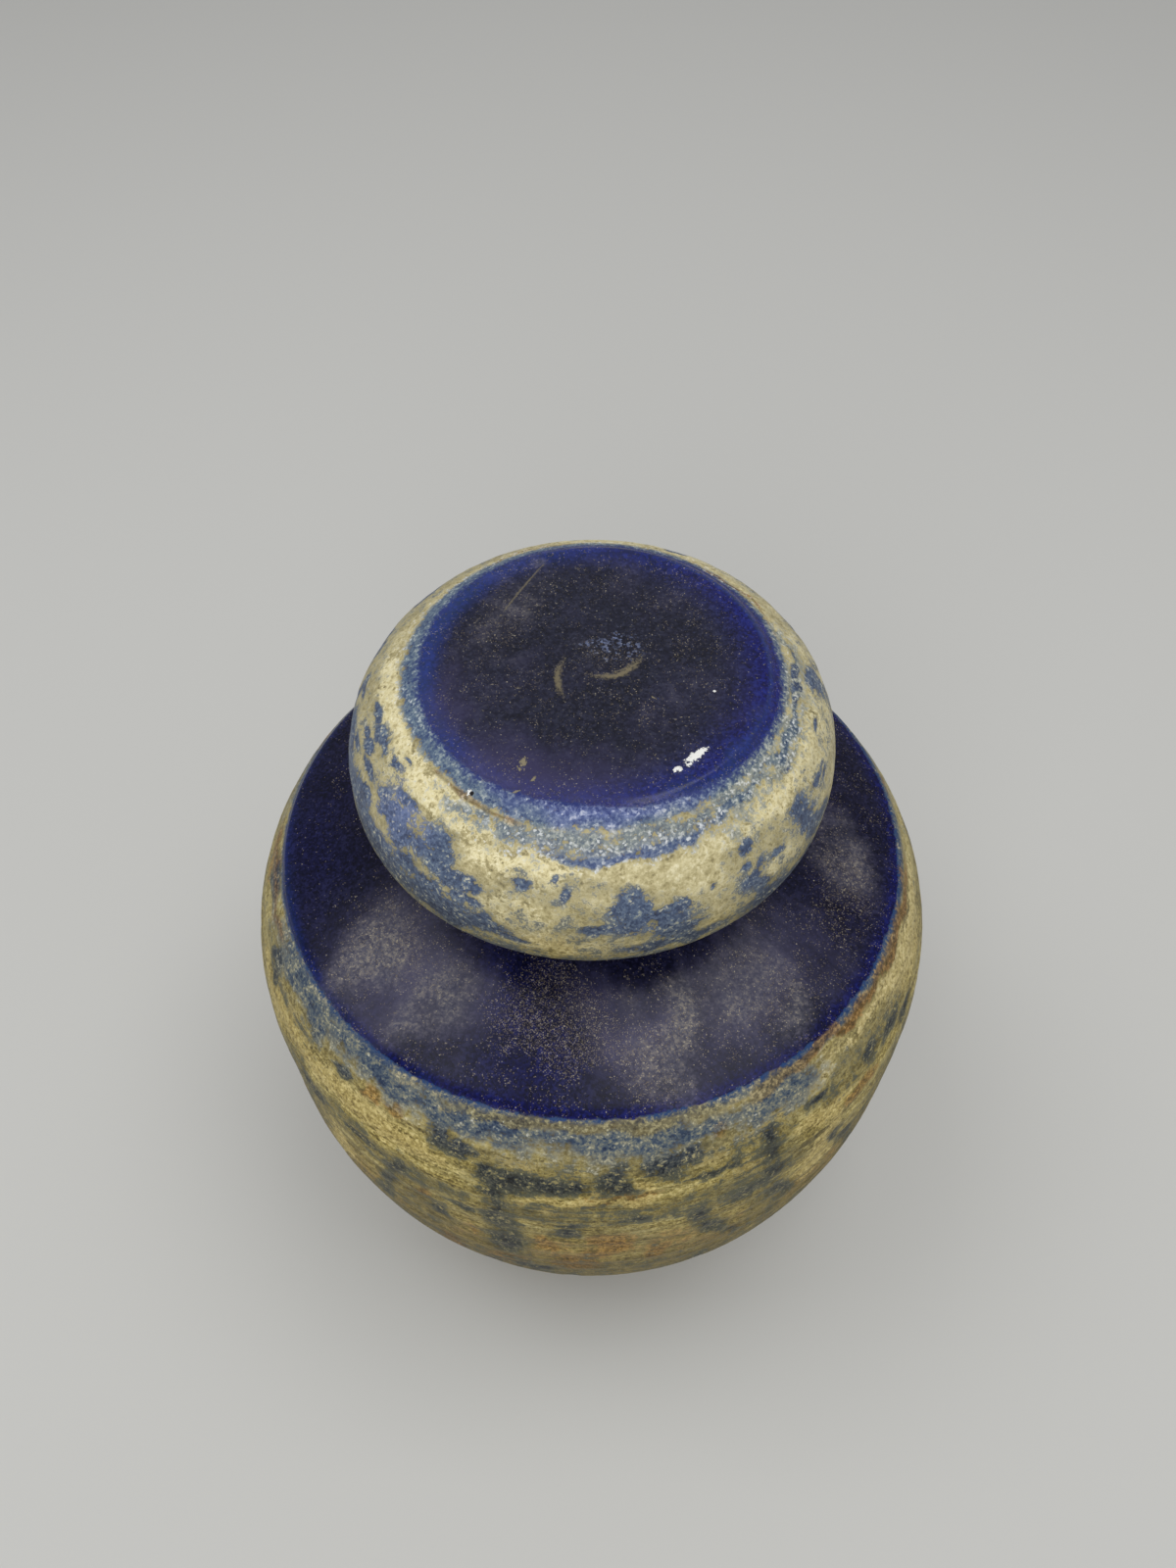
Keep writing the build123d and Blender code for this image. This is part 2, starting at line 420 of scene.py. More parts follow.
def outline_object(name, runs, edge_place):
    """A mesh line in the XZ plane, with what each ring needs to know. Length is zero at edge_place."""
    points, finishes, depths = [np.array(runs[0][0][0])], [runs[0][2]], [runs[0][3]]
    for run, step, finish, depth in runs:
        for point in evened(run, step, EDGE_STEP if step > WIDE_STEP else 0.0)[1:]:
            points.append(point)
            finishes.append(finish)
            depths.append(depth)
    points = np.array(points)
    lengths = np.concatenate([[0], np.cumsum(np.hypot(*np.diff(points, axis=0).T))])
    nearest = np.argmin(np.hypot(*(points - edge_place).T))
    slopes = np.gradient(points, axis=0)
    outward = np.stack([slopes[:, 1], np.zeros(len(points)), -slopes[:, 0]], 1)
    outward /= np.hypot(outward[:, 0], outward[:, 2])[:, None]
    mesh = bpy.data.meshes.new(name)
    steps = [(i, i + 1) for i in range(len(points) - 1)]
    mesh.from_pydata([(r * MM, 0, z * MM) for r, z in points], steps, [])
    for title, kind, key, values in (("run", "FLOAT", "value", lengths[nearest] - lengths),
                                     ("ridge", "FLOAT", "value", np.array(depths) * MM),
                                     ("finish", "INT", "value", finishes),
                                     ("outward", "FLOAT_VECTOR", "vector", outward.ravel())):
        mesh.attributes.new(title, kind, "POINT").data.foreach_set(key, values)
    print(name, "has", len(points), "rings")
    return put(name, mesh)


jar_outline = outline_object("jar_outline", jar_runs, shoulder_edge)
lid_outline = outline_object("lid_outline", lid_runs, disc_edge)

# %% [markdown]
# The glaze materials come next, because the wheel's node tree hands them out. They share a few
# effects, and each of those is a node group. The first turns a soft field into a mask with the
# ragged, islanded edge that two glazes have where they meet. The second scatters small crystals.
# The third gives clouds at three sizes and grit, and the fourth draws the fine lines of the wheel.

# %% Helpers for shader groups
KINDS = {"Color": "Color", **dict.fromkeys(("Vector", "Streaks", "Flow", "Wisps", "Centre"), "Vector")}


def shader_group(name, takes, gives):
    """A new node group that takes and gives what is named; a name that isn't in KINDS is a value."""
    tree = bpy.data.node_groups.new(name, "ShaderNodeTree")
    for way, titles in (("INPUT", takes), ("OUTPUT", gives)):
        for title in titles:
            kind = "NodeSocket" + KINDS.get(title, "Float")
            tree.interface.new_socket(title, in_out=way, socket_type=kind)
    print("group", name)
    return tree, Wire(tree.nodes.new("NodeGroupInput").outputs[0]), tree.nodes.new("NodeGroupOutput").inputs


def use(group, **inputs):
    """Places a group where its wires are, and returns its first output."""
    return new_node(tree_of(inputs.values()), "ShaderNodeGroup", inputs, node_tree=group)


# %% Group: ragged edge
ragged_edge, take, give = shader_group(
    "ragged_edge", ["Field", "Clouds", "Raggedness", "Softness"], ["Mask"])
swing = (take["Clouds"] - 0.5) * take["Raggedness"]
moved = shift(take["Field"], 0.0, 1.0, -0.3, 1.3) + swing
feed(shift(moved, 0.5 - take["Softness"], take["Softness"] + 0.5, smooth=True), give["Mask"])

# %% Group: speckle
speckle, take, give = shader_group("speckle", ["Vector", "Size", "Share", "Spread"], ["Mask", "Tone"])
cells = new_node(speckle, "ShaderNodeTexVoronoi", {"Vector": take["Vector"], "Scale": 1.0 / take["Size"]})
lots = new_node(speckle, "ShaderNodeSeparateColor", {"Color": cells["Color"]})
reach = take["Spread"] * shift(lots[1], 0.0, 1.0, 0.45, 1.0)
disc = shift(cells["Distance"], reach * 0.45, reach, 1.0, 0.0, smooth=True)
feed(disc * sums("LESS_THAN", lots[0], take["Share"]), give["Mask"])
feed(lots[2], give["Tone"])

# %% Group: clouds
clouds, take, give = shader_group("clouds", ["Vector", "Size"], ["Broad", "Middle", "Fine", "Grit"])
for title, share, rough in (("Broad", 1.0, 0.55), ("Middle", 0.4, 0.62), ("Fine", 0.15, 0.7)):
    cloud = new_node(clouds, "ShaderNodeTexNoise", {
        "Vector": take["Vector"], "Scale": 1.0 / (take["Size"] * share), "Detail": 3.0, "Roughness": rough,
        "Distortion": 0.2})
    feed(shift(cloud["Fac"], 0.28, 0.72), give[title])
grains = {"Vector": take["Vector"], "Scale": 1.0 / (take["Size"] * 0.06)}
grains = new_node(clouds, "ShaderNodeTexVoronoi", grains)["Color"]
feed(new_node(clouds, "ShaderNodeSeparateColor", {"Color": grains}), give["Grit"])

# %% Group: wheel lines
wheel_lines, take, give = shader_group("wheel_lines", ["Vector", "Run", "Pitch"], ["Height"])
inputs = {"Vector": take["Vector"], "Scale": 0.06, "Detail": 1.0}
wander = new_node(wheel_lines, "ShaderNodeTexNoise", inputs)["Fac"]
turns = (take["Run"] + wander * 3.0) / take["Pitch"]
inputs = {"W": turns, "Scale": 1.0, "Detail": 3.0, "Roughness": 0.6}
feed(new_node(wheel_lines, "ShaderNodeTexNoise", inputs, noise_dimensions="1D")["Fac"], give["Height"])

# %% [markdown]
# The glaze is one recipe that behaves differently by how thick it lies. Where it is thin over an edge it
# goes rust brown, a little more gives ochre, then slate blue, then a blue band full of pale crystals, and
# where it pools on the flat tops it is cobalt and nearly black. Painting is done with soft fields on the
# mesh, and this group turns them into the layered colour.

# %% Group: layered glaze
LAYERS = ("slate", "rust", "light", "band", "cobalt", "ring", "haze", "dust", "crystals", "teal", "violet",
          "shade", "milk")
RAY_WIDTH = 42.0

layered_glaze, take, give = shader_group(
    "layered_glaze", ["Vector", "Streaks", "Flow", "Wisps", "Run", *map(str.capitalize, LAYERS)],
    ["Color", "Rough", "Height"])
where, run, shade = take["Vector"], take["Run"], take["Shade"]
cloud = use(clouds, Vector=where, Size=6.0)
drip = use(clouds, Vector=take["Streaks"], Size=5.0)
flow = use(clouds, Vector=take["Flow"], Size=6.5)
wisp = use(clouds, Vector=take["Wisps"], Size=5.0)
broad, middle, fine, grit = (cloud[title] for title in ("Broad", "Middle", "Fine", "Grit"))

# Rays run outwards from the axis, as the glaze ran down the shoulder.
flat = vector("MULTIPLY", where, (1, 1, 0))
rise = new_node(layered_glaze, "ShaderNodeCombineXYZ", {2: vector("LENGTH", flat) * 0.3})
rays = vector("ADD", vector("SCALE", vector("NORMALIZE", flat), RAY_WIDTH), rise)
ray = use(clouds, Vector=rays, Size=8.0)


def laid(title):
    """Says how far the glaze has come."""
    print(title, "laid, nodes:", len(layered_glaze.nodes))


def by_shade(lid_value, belly_value):
    """A value that goes from one to the other with the shade, from the pale lid to the dark belly."""
    return shift(shade, 0.0, 1.0, lid_value, belly_value)


def grainy(mixed_clouds):
    """Mixed clouds, stretched to the full range."""
    return shift(mixed_clouds, 0.25, 0.75)


def cut(layer, ragged, softness):
    """The mask that a layer's field cuts, with a ragged and granular edge."""
    return use(ragged_edge, Field=take[layer], Clouds=edge_clouds, Raggedness=ragged, Softness=softness)


def misty(layer):
    """The mask of a layer that has no edge, only soft clouds on the lid and soft rays on the shoulder."""
    wide, narrow = by_shade(broad, ray["Broad"]), by_shade(flow["Broad"], ray["Middle"])
    return shift(take[layer] * 0.64 + wide * 0.18 + narrow * 0.18, 0.28, 0.85, smooth=True)


mixed = broad * 0.2 + middle * 0.25 + drip["Middle"] * 0.25 + flow["Middle"] * 0.3
lid_clouds = mixed * 0.35 + middle * 0.2 + fine * 0.33 + grit * 0.12
belly_clouds = (wisp["Middle"] * 0.28 + drip["Middle"] * 0.2 + middle * 0.14 + wisp["Fine"] * 0.14
                + fine * 0.16 + grit * 0.08)
edge_clouds = by_shade(lid_clouds, belly_clouds)
grains = grainy(fine * 0.5 + grit * 0.25 + mixed * 0.25)
laid("clouds")

# %% [markdown]
# The body of the glaze is ochre: chalky and pale on the lid, golden olive lower on the belly, with painted
# shade darkening it towards the belly's foot. It turns to rust where it is thin, it has light patches, which
# on the lid are partly painted light, and it is pitted by small bubbles, whose shade is painted as dark
# specks.

# %% Glaze layers: ochre, rust and light
pale_lot = grainy(mixed * 0.55 + fine * 0.32 + grit * 0.13)
golden_lot = grainy(mixed * 0.22 + wisp["Middle"] * 0.28 + wisp["Fine"] * 0.16 + fine * 0.2 + grit * 0.14)
pale = tones(pale_lot, (0, 124, 116, 84), (0.25, 170, 158, 114), (0.6, 208, 197, 152), (1, 244, 236, 200))
golden = tones(golden_lot, (0, 56, 48, 26), (0.3, 122, 107, 54), (0.55, 184, 166, 96), (0.85, 244, 228, 158))
wash = shift(broad * 0.25 + flow["Broad"] * 0.3 + wisp["Middle"] * 0.3 + drip["Middle"] * 0.15, 0.42, 0.66)
washed = tones(golden_lot, (0, 46, 50, 46), (0.5, 88, 88, 68), (1, 136, 128, 92))
ochre = blend(wash * by_shade(0.0, 0.5), blend(shade, pale, golden), washed)
# Painted shade: the belly darkens to brown towards its foot.
painted_low_shade = shift(run, 18, 44, 0.0, 0.4) * shift(shade, 0.8, 1.0)
ochre = blend(painted_low_shade, ochre, colour(86, 70, 34))

rust = tones(grains, (0, 58, 42, 20), (0.5, 128, 90, 36), (1, 190, 142, 64))
body = blend(cut("Rust", 2.1, 0.25) * 0.7, ochre, rust)
# Light patches: pale glaze, and on the lid partly painted light.
light = blend(shade, tones(grains, (0, 182, 168, 124), (0.4, 226, 214, 164), (1, 250, 242, 206)),
              tones(grains, (0, 128, 110, 60), (0.5, 186, 166, 100), (1, 226, 208, 142)))
body = blend(cut("Light", 2.3, 0.2) * by_shade(0.92, 0.8), body, light)
# Painted shade: dark specks for the shade in small bubble pits.
pit_shade = use(speckle, Vector=where, Size=1.5, Share=0.09, Spread=0.13)
body = blend(pit_shade * by_shade(0.7, 0.3), body, colour(66, 58, 46))
laid("ochre")

# %% [markdown]
# Slate lies in patches over the ochre, with a dull halo, and with ochre grains left in it.

# %% Glaze layers: slate
halo = shift(take["Slate"] * 0.75 + middle * 0.15 + fine * 0.1, 0.3, 0.52, smooth=True)
body = blend(halo * by_shade(0.34, 0.36), body, blend(shade, colour(122, 122, 104), colour(74, 74, 56)))
slate_mask = cut("Slate", by_shade(1.9, 2.4), by_shade(0.13, 0.1))
thinness = shift(take["Slate"], 0.42, by_shade(0.6, 0.76), by_shade(0.7, 0.8), 0.0)
slate_lot = grainy(middle * 0.3 + fine * 0.4 + grit * 0.3)
slate = blend(
    shade, tones(slate_lot, (0, 38, 52, 84), (0.4, 64, 82, 114), (0.8, 96, 114, 140), (1, 140, 150, 152)),
    tones(slate_lot, (0, 18, 22, 27), (0.4, 42, 48, 52), (0.7, 76, 79, 72), (1, 150, 138, 92)))
slate = blend(thinness, slate, blend(shade, colour(112, 114, 106), colour(92, 93, 74)))
slate = blend(take["Violet"] * shift(slate_lot, 0.2, 0.8, 0.25, 0.8), slate, colour(110, 126, 176))
slate = blend(shift(grains, 0.8, 1.0) * by_shade(0.5, 0.25), slate, ochre)
body = blend(slate_mask * 0.96, body, slate)
laid("slate")

# %% [markdown]
# The blue band under each glazed edge is made of grains of every colour: bluer and lilac where it is painted
# so, murky on the belly, pale at its lower fringe and blue at its upper one. The lilac at the front edge of
# the lid's bevel is a painted glint. Rust near the edge is painted over it, as a thin brown line.

# %% Glaze layers: the blue band
band_lot = by_shade(grainy(mixed * 0.38 + fine * 0.37 + grit * 0.25),
                    grainy(broad * 0.15 + middle * 0.35 + fine * 0.3 + grit * 0.2))
band = tones(band_lot, (0, 36, 52, 88), (0.3, 72, 90, 114), (0.65, 122, 134, 138), (1, 184, 186, 172))
fringe = shift(take["Band"], 0.42, 0.68, 0.8, 0.0) * by_shade(1.0, 0.4)
for share, *stops in (
        (take["Teal"], (0, 44, 62, 104), (0.35, 78, 98, 128), (0.7, 112, 130, 146), (1, 168, 180, 184)),
        (shade, (0, 26, 38, 60), (0.3, 60, 73, 90), (0.55, 98, 103, 100), (0.8, 140, 132, 100),
         (1, 190, 182, 146)),
        (take["Violet"], (0, 46, 60, 122), (0.35, 86, 100, 154), (0.7, 124, 136, 184), (1, 190, 196, 224)),
        (fringe, (0, 92, 98, 104), (0.4, 140, 142, 128), (0.8, 190, 186, 160), (1, 222, 220, 208))):
    band = blend(share, band, tones(band_lot, *stops))
verge = shift(take["Cobalt"], 0.05, 0.45) * shift(grains, 0.9, 0.3)
band = blend(verge, band, blend(shade, colour(34, 48, 112), colour(38, 74, 116)))
body = blend(cut("Band", 2.2, by_shade(0.16, 0.36)), body, band)

near_edge = cut("Rust", 2.0, 0.3) * shift(run, 5.5, 3.5)
brown = tones(grains, (0, 54, 44, 30), (0.5, 116, 86, 48), (1, 174, 138, 86))
dull = tones(grains, (0, 70, 64, 46), (0.5, 120, 110, 74), (1, 176, 166, 122))
body = blend(near_edge * 0.75, body, blend(shift(take["Light"], 0.25, 0.6), brown, dull))
laid("band")

# %% [markdown]
# Cobalt pools on the flat tops. It is nearly black, with a deep blue ring along its rim, milky clouds and
# tan dust. The milky clouds, and the haze with them, are partly painted sheen: soft pale reflections on the
# glossy glaze.

# %% Glaze layers: the cobalt pool
cobalt_mask = cut("Cobalt", 1.2, 0.1)
pool_lot = grainy(broad * 0.2 + fine * 0.4 + grit * 0.4)
pool = blend(shade, tones(pool_lot, (0, 14, 15, 30), (0.5, 25, 27, 45), (1, 42, 44, 62)),
             tones(pool_lot, (0, 4, 4, 26), (0.5, 12, 12, 44), (1, 30, 30, 66)))
deep = blend(shade, tones(pool_lot, (0, 6, 8, 60), (0.5, 11, 17, 98), (1, 24, 38, 128)),
             tones(pool_lot, (0, 2, 3, 30), (0.5, 4, 6, 50), (1, 12, 19, 84)))
pool = blend(take["Ring"], pool, deep)
pool = blend(take["Teal"] * (take["Ring"] * 0.4), pool, colour(50, 78, 126))
# Painted sheen: milky clouds lighten the pool where soft reflections lie.
pool = blend(misty("Milk") * 0.66, pool, blend(shade, colour(64, 60, 98), colour(88, 86, 116)))
# Haze: tan crystal haze, and on the shoulder also a painted sheen.
fog_and_sheen = misty("Haze")
pool = blend(fog_and_sheen * 0.8, pool, tones(grains, (0, 68, 69, 86), (0.5, 100, 99, 108), (1, 152, 145, 134)))
dust_lot = shift(take["Dust"] * 0.6 + middle * 0.2 + flow["Middle"] * 0.2, 0.36, 0.75, 0.02, 0.98)
specks = use(speckle, Vector=where, Size=0.2, Share=dust_lot, Spread=0.75)
dust = specks * shift(specks["Tone"], 0.0, 1.0, 0.25, 1.0)
gold_dust = tones(grit, (0, 96, 86, 76), (0.6, 144, 130, 104), (1, 206, 194, 162))
pool = blend(dust * by_shade(0.6, 0.85), pool, gold_dust)
spark = use(speckle, Vector=where, Size=0.65, Share=0.3, Spread=0.2)
spark_colour = tones(spark["Tone"], (0, 60, 84, 150), (0.5, 150, 134, 96), (1, 190, 184, 164))
body = blend(cobalt_mask, body, blend(spark * 0.48, pool, spark_colour))
laid("cobalt")

# %% [markdown]
# White crystals gather in clumps where the band breaks into the ochre, and one painted glint lies with them
# on the front edge of the lid's bevel. The pool is smoother than the rest, apart from its dust, and the fine
# relief is strongest outside it.

# %% Glaze layers: crystals, roughness and relief
frost_low = 0.97 - take["Crystals"] * 0.38
frosted = shift(fine * 0.4 + grit * 0.6, frost_low, frost_low + 0.3) * shift(take["Crystals"], 0.02, 0.3)
frosted = frosted * shift(cobalt_mask, 0.2, 0.8, 0.85, 0.6)
frost = blend(shade, colour(226, 230, 234), colour(200, 210, 214))
feed(blend(frosted, body, blend(cobalt_mask, frost, colour(124, 138, 176))), give["Color"])

feed(shift(cobalt_mask, 0.0, 1.0, 0.5, 0.26) + sums("MAXIMUM", dust, fog_and_sheen) * 0.2, give["Rough"])
relief = (fine * 0.8 + middle * 0.7 + slate_mask * 0.3) * shift(cobalt_mask, 0.0, 1.0, 1.0, 0.15)
feed(relief + frosted * 0.4, give["Height"])
laid("crystals")

# %% [markdown]
# A few marks are single and have a place: two thin arcs where the potter's finger left the middle
# of the lid, a scratch, a pinhole, and chips that show the white body. One group draws them all as
# a short stroke along a circle, so a straight scratch is a stroke on a very large circle.

# %% Group: stroke
stroke, take, give = shader_group(
    "stroke", ["Vector", "Centre", "Radius", "Angle", "Length", "Width", "Raggedness", "Softness"], ["Mask"])
to_middle = spun(vector("SUBTRACT", take["Vector"], take["Centre"]), take["Angle"] * (-pi / 180))
split = new_node(stroke, "ShaderNodeSeparateXYZ", {0: to_middle})
reach = vector("LENGTH", new_node(stroke, "ShaderNodeCombineXYZ", {0: split[0], 1: split[1]}))
along = sums("ARCTAN2", split[1], split[0]) * take["Radius"] / take["Length"]
off = (reach - take["Radius"]) / take["Width"]
span = sums("SQRT", along * along + off * off)
cloud = use(clouds, Vector=take["Vector"], Size=4.0)
grains = cloud["Fine"] * 0.7 + cloud["Grit"] * 0.3
feed(use(ragged_edge, Field=shift(span, 0.0, 2.0, 1.0, 0.0), Clouds=grains,
         Raggedness=take["Raggedness"], Softness=take["Softness"]), give["Mask"])

# %% Marks on the lid
CHIP_WHITE = colour(240, 240, 236)
CHIP_TAN = colour(156, 146, 112)
TRACE = colour(128, 118, 92)
# Painted shade for the inside of the pinhole.
HOLE_SHADE = colour(24, 22, 24)
FAR = 60.0
# Each mark: colour, share, centre x and y, radius, middle angle, half length, half width, raggedness
# and softness.
FINGER_ARCS = [
    (TRACE, 0.7, 3.1, -2.6, 8.1, 180.0, 2.8, 0.45, 1.5, 0.5),
    (TRACE, 0.8, 1.5, 3.5, 5.8, -62.0, 3.5, 0.5, 1.6, 0.5),
]
LID_MARKS = [(TRACE, 0.5, 101.3, -45.1, 127.5, 151.3, 6.4, 0.16, 1.2, 0.3), *FINGER_ARCS]
# Each chip: x, y, half length, half width and turn, and whether the white body shows in it.
LID_CHIPS = [
    (13.9, -17.1, 1.9, 0.6, 46, True), (11.5, -19.3, 0.6, 0.45, 30, True), (17.3, -5.2, 0.18, 0.18, 0, True),
    (-9.4, -18.2, 1.1, 0.45, 68, False), (-7.9, -20.9, 0.6, 0.2, 50, False),
    (-10.1, -23.0, 0.45, 0.2, 20, False), (8.6, -6.4, 0.5, 0.12, -40, False),
    (-16.5, -22.3, 0.3, 0.4, 0, True),
]
for x, y, half_length, half_width, turn, white in LID_CHIPS:
    x, y = x + FAR * cos(radians(turn - 90)), y + FAR * sin(radians(turn - 90))
    tint = (CHIP_WHITE, 1.0) if white else (CHIP_TAN, 0.7)
    LID_MARKS.append((*tint, x, y, FAR, turn + 90, half_length, half_width, 1.5, 0.1))
# The pinhole's dark is painted shade inside its small pit.
LID_MARKS.append((HOLE_SHADE, 1.0, -16.16 + FAR, -22.45, FAR, 180, 0.26, 0.3, 0.3, 0.12))
print(len(LID_MARKS), "marks on the lid")

# %% [markdown]
# The glaze material reads the fields from the mesh. Places on it are measured in millimetres. A
# second set of places is squeezed in height, so that what it draws comes out as runs and drips,
# and two more are squeezed in width, so that theirs is drawn out round the pot, as by the wheel.


# %% Glaze materials
def field(tree, name):
    """A value that is kept on the mesh."""
    return new_node(tree, "ShaderNodeAttribute", attribute_name=name)["Fac"]


def millimetres(tree):
    """Places on the object, in millimetres."""
    return vector("SCALE", new_node(tree, "ShaderNodeTexCoord")["Object"], 1 / MM)


def lay(shader, tint, rough, height, bump):
    """Gives a shader its colour, its roughness and a relief that is bump millimetres deep."""
    raised = new_node(height.tree, "ShaderNodeBump", {"Height": height, "Distance": bump * MM})
    for title, value in (("Base Color", tint), ("Roughness", rough), ("Normal", raised)):
        feed(value, shader[title])


def glaze_material(name, bump, drip_length, shine, marks=()):
    """The layered glaze on one piece; drips are longer than wide by drip_length."""
    material, tree, shader = new_material(name, {"Specular IOR Level": shine})
    where, run = millimetres(tree), field(tree, "run")
    drips, along, tilted = (
        new_node(tree, "ShaderNodeMapping", {"Vector": where, "Scale": scale, "Rotation": (0.0, lean, 0.0)})
        for scale, lean in (((1.0, 1.0, 1.0 / drip_length), 0.0), ((0.45, 0.45, 1.3), 0.0),
                            ((0.16, 0.16, 1.5), 0.06)))
    fields = {layer.capitalize(): field(tree, layer) for layer in LAYERS}
    glaze = use(layered_glaze, Vector=where, Streaks=drips, Flow=along, Wisps=tilted, Run=run, **fields)
    shallow = shift(fields["Cobalt"], 0.3, 0.7, 0.5, 0.0)
    height = glaze["Height"] + use(wheel_lines, Vector=where, Run=run, Pitch=1.3) * shallow
    tint, rough = glaze["Color"], glaze["Rough"]
    on_top = shift(run, 4.5, 4.0)
    for mark_colour, share, x, y, radius, angle, half_length, half_width, ragged, soft in marks:
        mark = use(stroke, Vector=where, Centre=(x, y, 0), Radius=radius, Angle=angle, Length=half_length,
                   Width=half_width, Raggedness=ragged, Softness=soft) * on_top
        tint = blend(mark * share, tint, mark_colour)
        rough = sums("MAXIMUM", rough, mark * 0.8)
        height = height - mark * 0.6
    lay(shader, tint, rough, height, bump)
    return material


def plain_material(name, dark, pale, rough, bump):
    """Clay or a thin even glaze: two tones in clouds and grains."""
    material, tree, shader = new_material(name)
    where = millimetres(tree)
    cloud = use(clouds, Vector=where, Size=7.0)
    grain = use(speckle, Vector=where, Size=0.7, Share=0.3, Spread=0.45)
    tint = blend((cloud["Broad"] + cloud["Fine"]) * 0.5, dark, pale)
    rings = use(wheel_lines, Vector=where, Run=field(tree, "run"), Pitch=1.6)
    lay(shader, blend(grain * 0.5, tint, dark), shift(cloud["Middle"], 0.0, 1.0, rough - 0.06, rough + 0.06),
        rings + (cloud["Fine"] - grain), bump)
    return material


jar_glaze = glaze_material("jar_glaze", bump=0.10, drip_length=4.0, shine=0.15)
lid_glaze = glaze_material("lid_glaze", bump=0.11, drip_length=1.6, shine=0.32, marks=LID_MARKS)
inside_glaze = plain_material(
    "inside_glaze", dark=colour(112, 92, 58), pale=colour(168, 148, 104), rough=0.38, bump=0.08)
bare_clay = plain_material(
    "bare_clay", dark=colour(150, 118, 88), pale=colour(190, 162, 130), rough=0.85, bump=0.1)
print("materials", [m.name for m in (jar_glaze, lid_glaze, inside_glaze, bare_clay)])

# %% [markdown]
# A thrown pot follows one rule: its outline, turned round the axis. So the wheel is a Geometry
# Nodes tree. It makes a grid with one row for each ring, reads the ring's place from the outline
# and turns it by the column's angle. On the way it adds what a hand leaves: a spiral of finger
# ridges, swelling and fading round the pot, and a wall that isn't quite round. The seam and the
# two poles are merged, so the form comes out closed.

# %% The wheel, as a node tree
wheel = bpy.data.node_groups.new("wheel", "GeometryNodeTree")
wheel_sockets = {
    title: wheel.interface.new_socket(title, in_out="INPUT", socket_type="NodeSocket" + kind).identifier
    for title, kind in (("Outline", "Geometry"), ("Steps round", "Int"), ("Ridge pitch", "Float"),
                        ("Out of round", "Float"), ("Out of round turn", "Float"), ("Seed", "Int"),
                        ("Outside", "Material"), ("Inside", "Material"), ("Clay", "Material"))}
wheel.interface.new_socket("Pot", in_out="OUTPUT", socket_type="NodeSocketGeometry")
take = Wire(wheel.nodes.new("NodeGroupInput").outputs[0])
give = wheel.nodes.new("NodeGroupOutput").inputs


def make(kind, inputs=(), **settings):
    """A node of the wheel whose kind is named in short."""
    return new_node(wheel, "GeometryNode" + kind, inputs, **settings)


def from_ring(kind, value, index):
    """What a value of the outline is at a ring."""
    inputs = {"Geometry": take["Outline"], "Value": value, "Index": index}
    return make("SampleIndex", inputs, data_type=kind, domain="POINT")["Value"]


def named(kind, name):
    """A value that is kept on a mesh under a name."""
    return make("InputNamedAttribute", {"Name": name}, data_type=kind)["Attribute"]


def store(kind, domain, geometry, name, value):
    """The geometry with a value kept on it under a name."""
    inputs = {"Geometry": geometry, "Name": name, "Value": value}
    return make("StoreNamedAttribute", inputs, data_type=kind, domain=domain)


print("the wheel takes", list(wheel_sockets))

# %% The wheel turns each ring
rings = make("AttributeDomainSize", {"Geometry": take["Outline"]}, component="MESH")["Point Count"]
columns = take["Steps round"] + 1
grid = make("MeshGrid", {"Size X": 1.0, "Size Y": 1.0, "Vertices X": rings, "Vertices Y": columns})
index = make("InputIndex")
ring = sums("FLOOR", (index + 0.5) / columns)
share_round = (index - ring * columns) / take["Steps round"]
angle = share_round * (2 * pi)
run = from_ring("FLOAT", named("FLOAT", "run"), ring)
depth = from_ring("FLOAT", named("FLOAT", "ridge"), ring)
turned = spun(from_ring("FLOAT_VECTOR", make("InputPosition"), ring), angle)
outward = spun(from_ring("FLOAT_VECTOR", named("FLOAT_VECTOR", "outward"), ring), angle)

# Finger ridges wind round the pot once for each pitch.
ridge = sums("SINE", (run / take["Ridge pitch"] + share_round) * (2 * pi))
inputs = {"Vector": turned, "W": take["Seed"], "Scale": 28.0, "Detail": 1.0}
swell = new_node(wheel, "ShaderNodeTexNoise", inputs, noise_dimensions="4D")["Fac"]
lift = ridge * depth * shift(swell, 0.35, 0.65, 0.25, 1.0) + (swell - 0.5) * (depth * 1.6)
raised = vector("SCALE", outward, lift)
oval = sums("COSINE", (angle - take["Out of round turn"]) * 2) * take["Out of round"]
bowed = vector("SCALE", vector("MULTIPLY", turned, (1, 1, 0)), oval)
final = vector("ADD", turned, vector("ADD", raised, bowed))
print("places of the rings take", len(wheel.nodes), "nodes")

# %% The wheel closes the form and gives it its glazes
MERGE = 1e-6

shaped = make("SetPosition", {"Geometry": grid["Mesh"], "Position": final})
shaped = store("FLOAT", "POINT", shaped, "run", run)
face_ring = sums("FLOOR", (index + 0.5) / take["Steps round"])
shaped = store("INT", "FACE", shaped, "finish", from_ring("INT", named("INT", "finish"), face_ring + 1))
closed = make("MergeByDistance", {"Geometry": shaped, "Distance": MERGE})
pot = make("SetShadeSmooth", {"Geometry": closed, "Shade Smooth": True})
for number, title in enumerate(("Outside", "Inside", "Clay")):
    same = new_node(wheel, "FunctionNodeCompare", data_type="INT", operation="EQUAL")
    feed(named("INT", "finish"), same.socket.node.inputs[2])
    feed(number, same.socket.node.inputs[3])
    pot = make("SetMaterial", {"Geometry": pot, "Selection": same, "Material": take[title]})
feed(pot, give["Pot"])
print("the wheel has", len(wheel.nodes), "nodes")


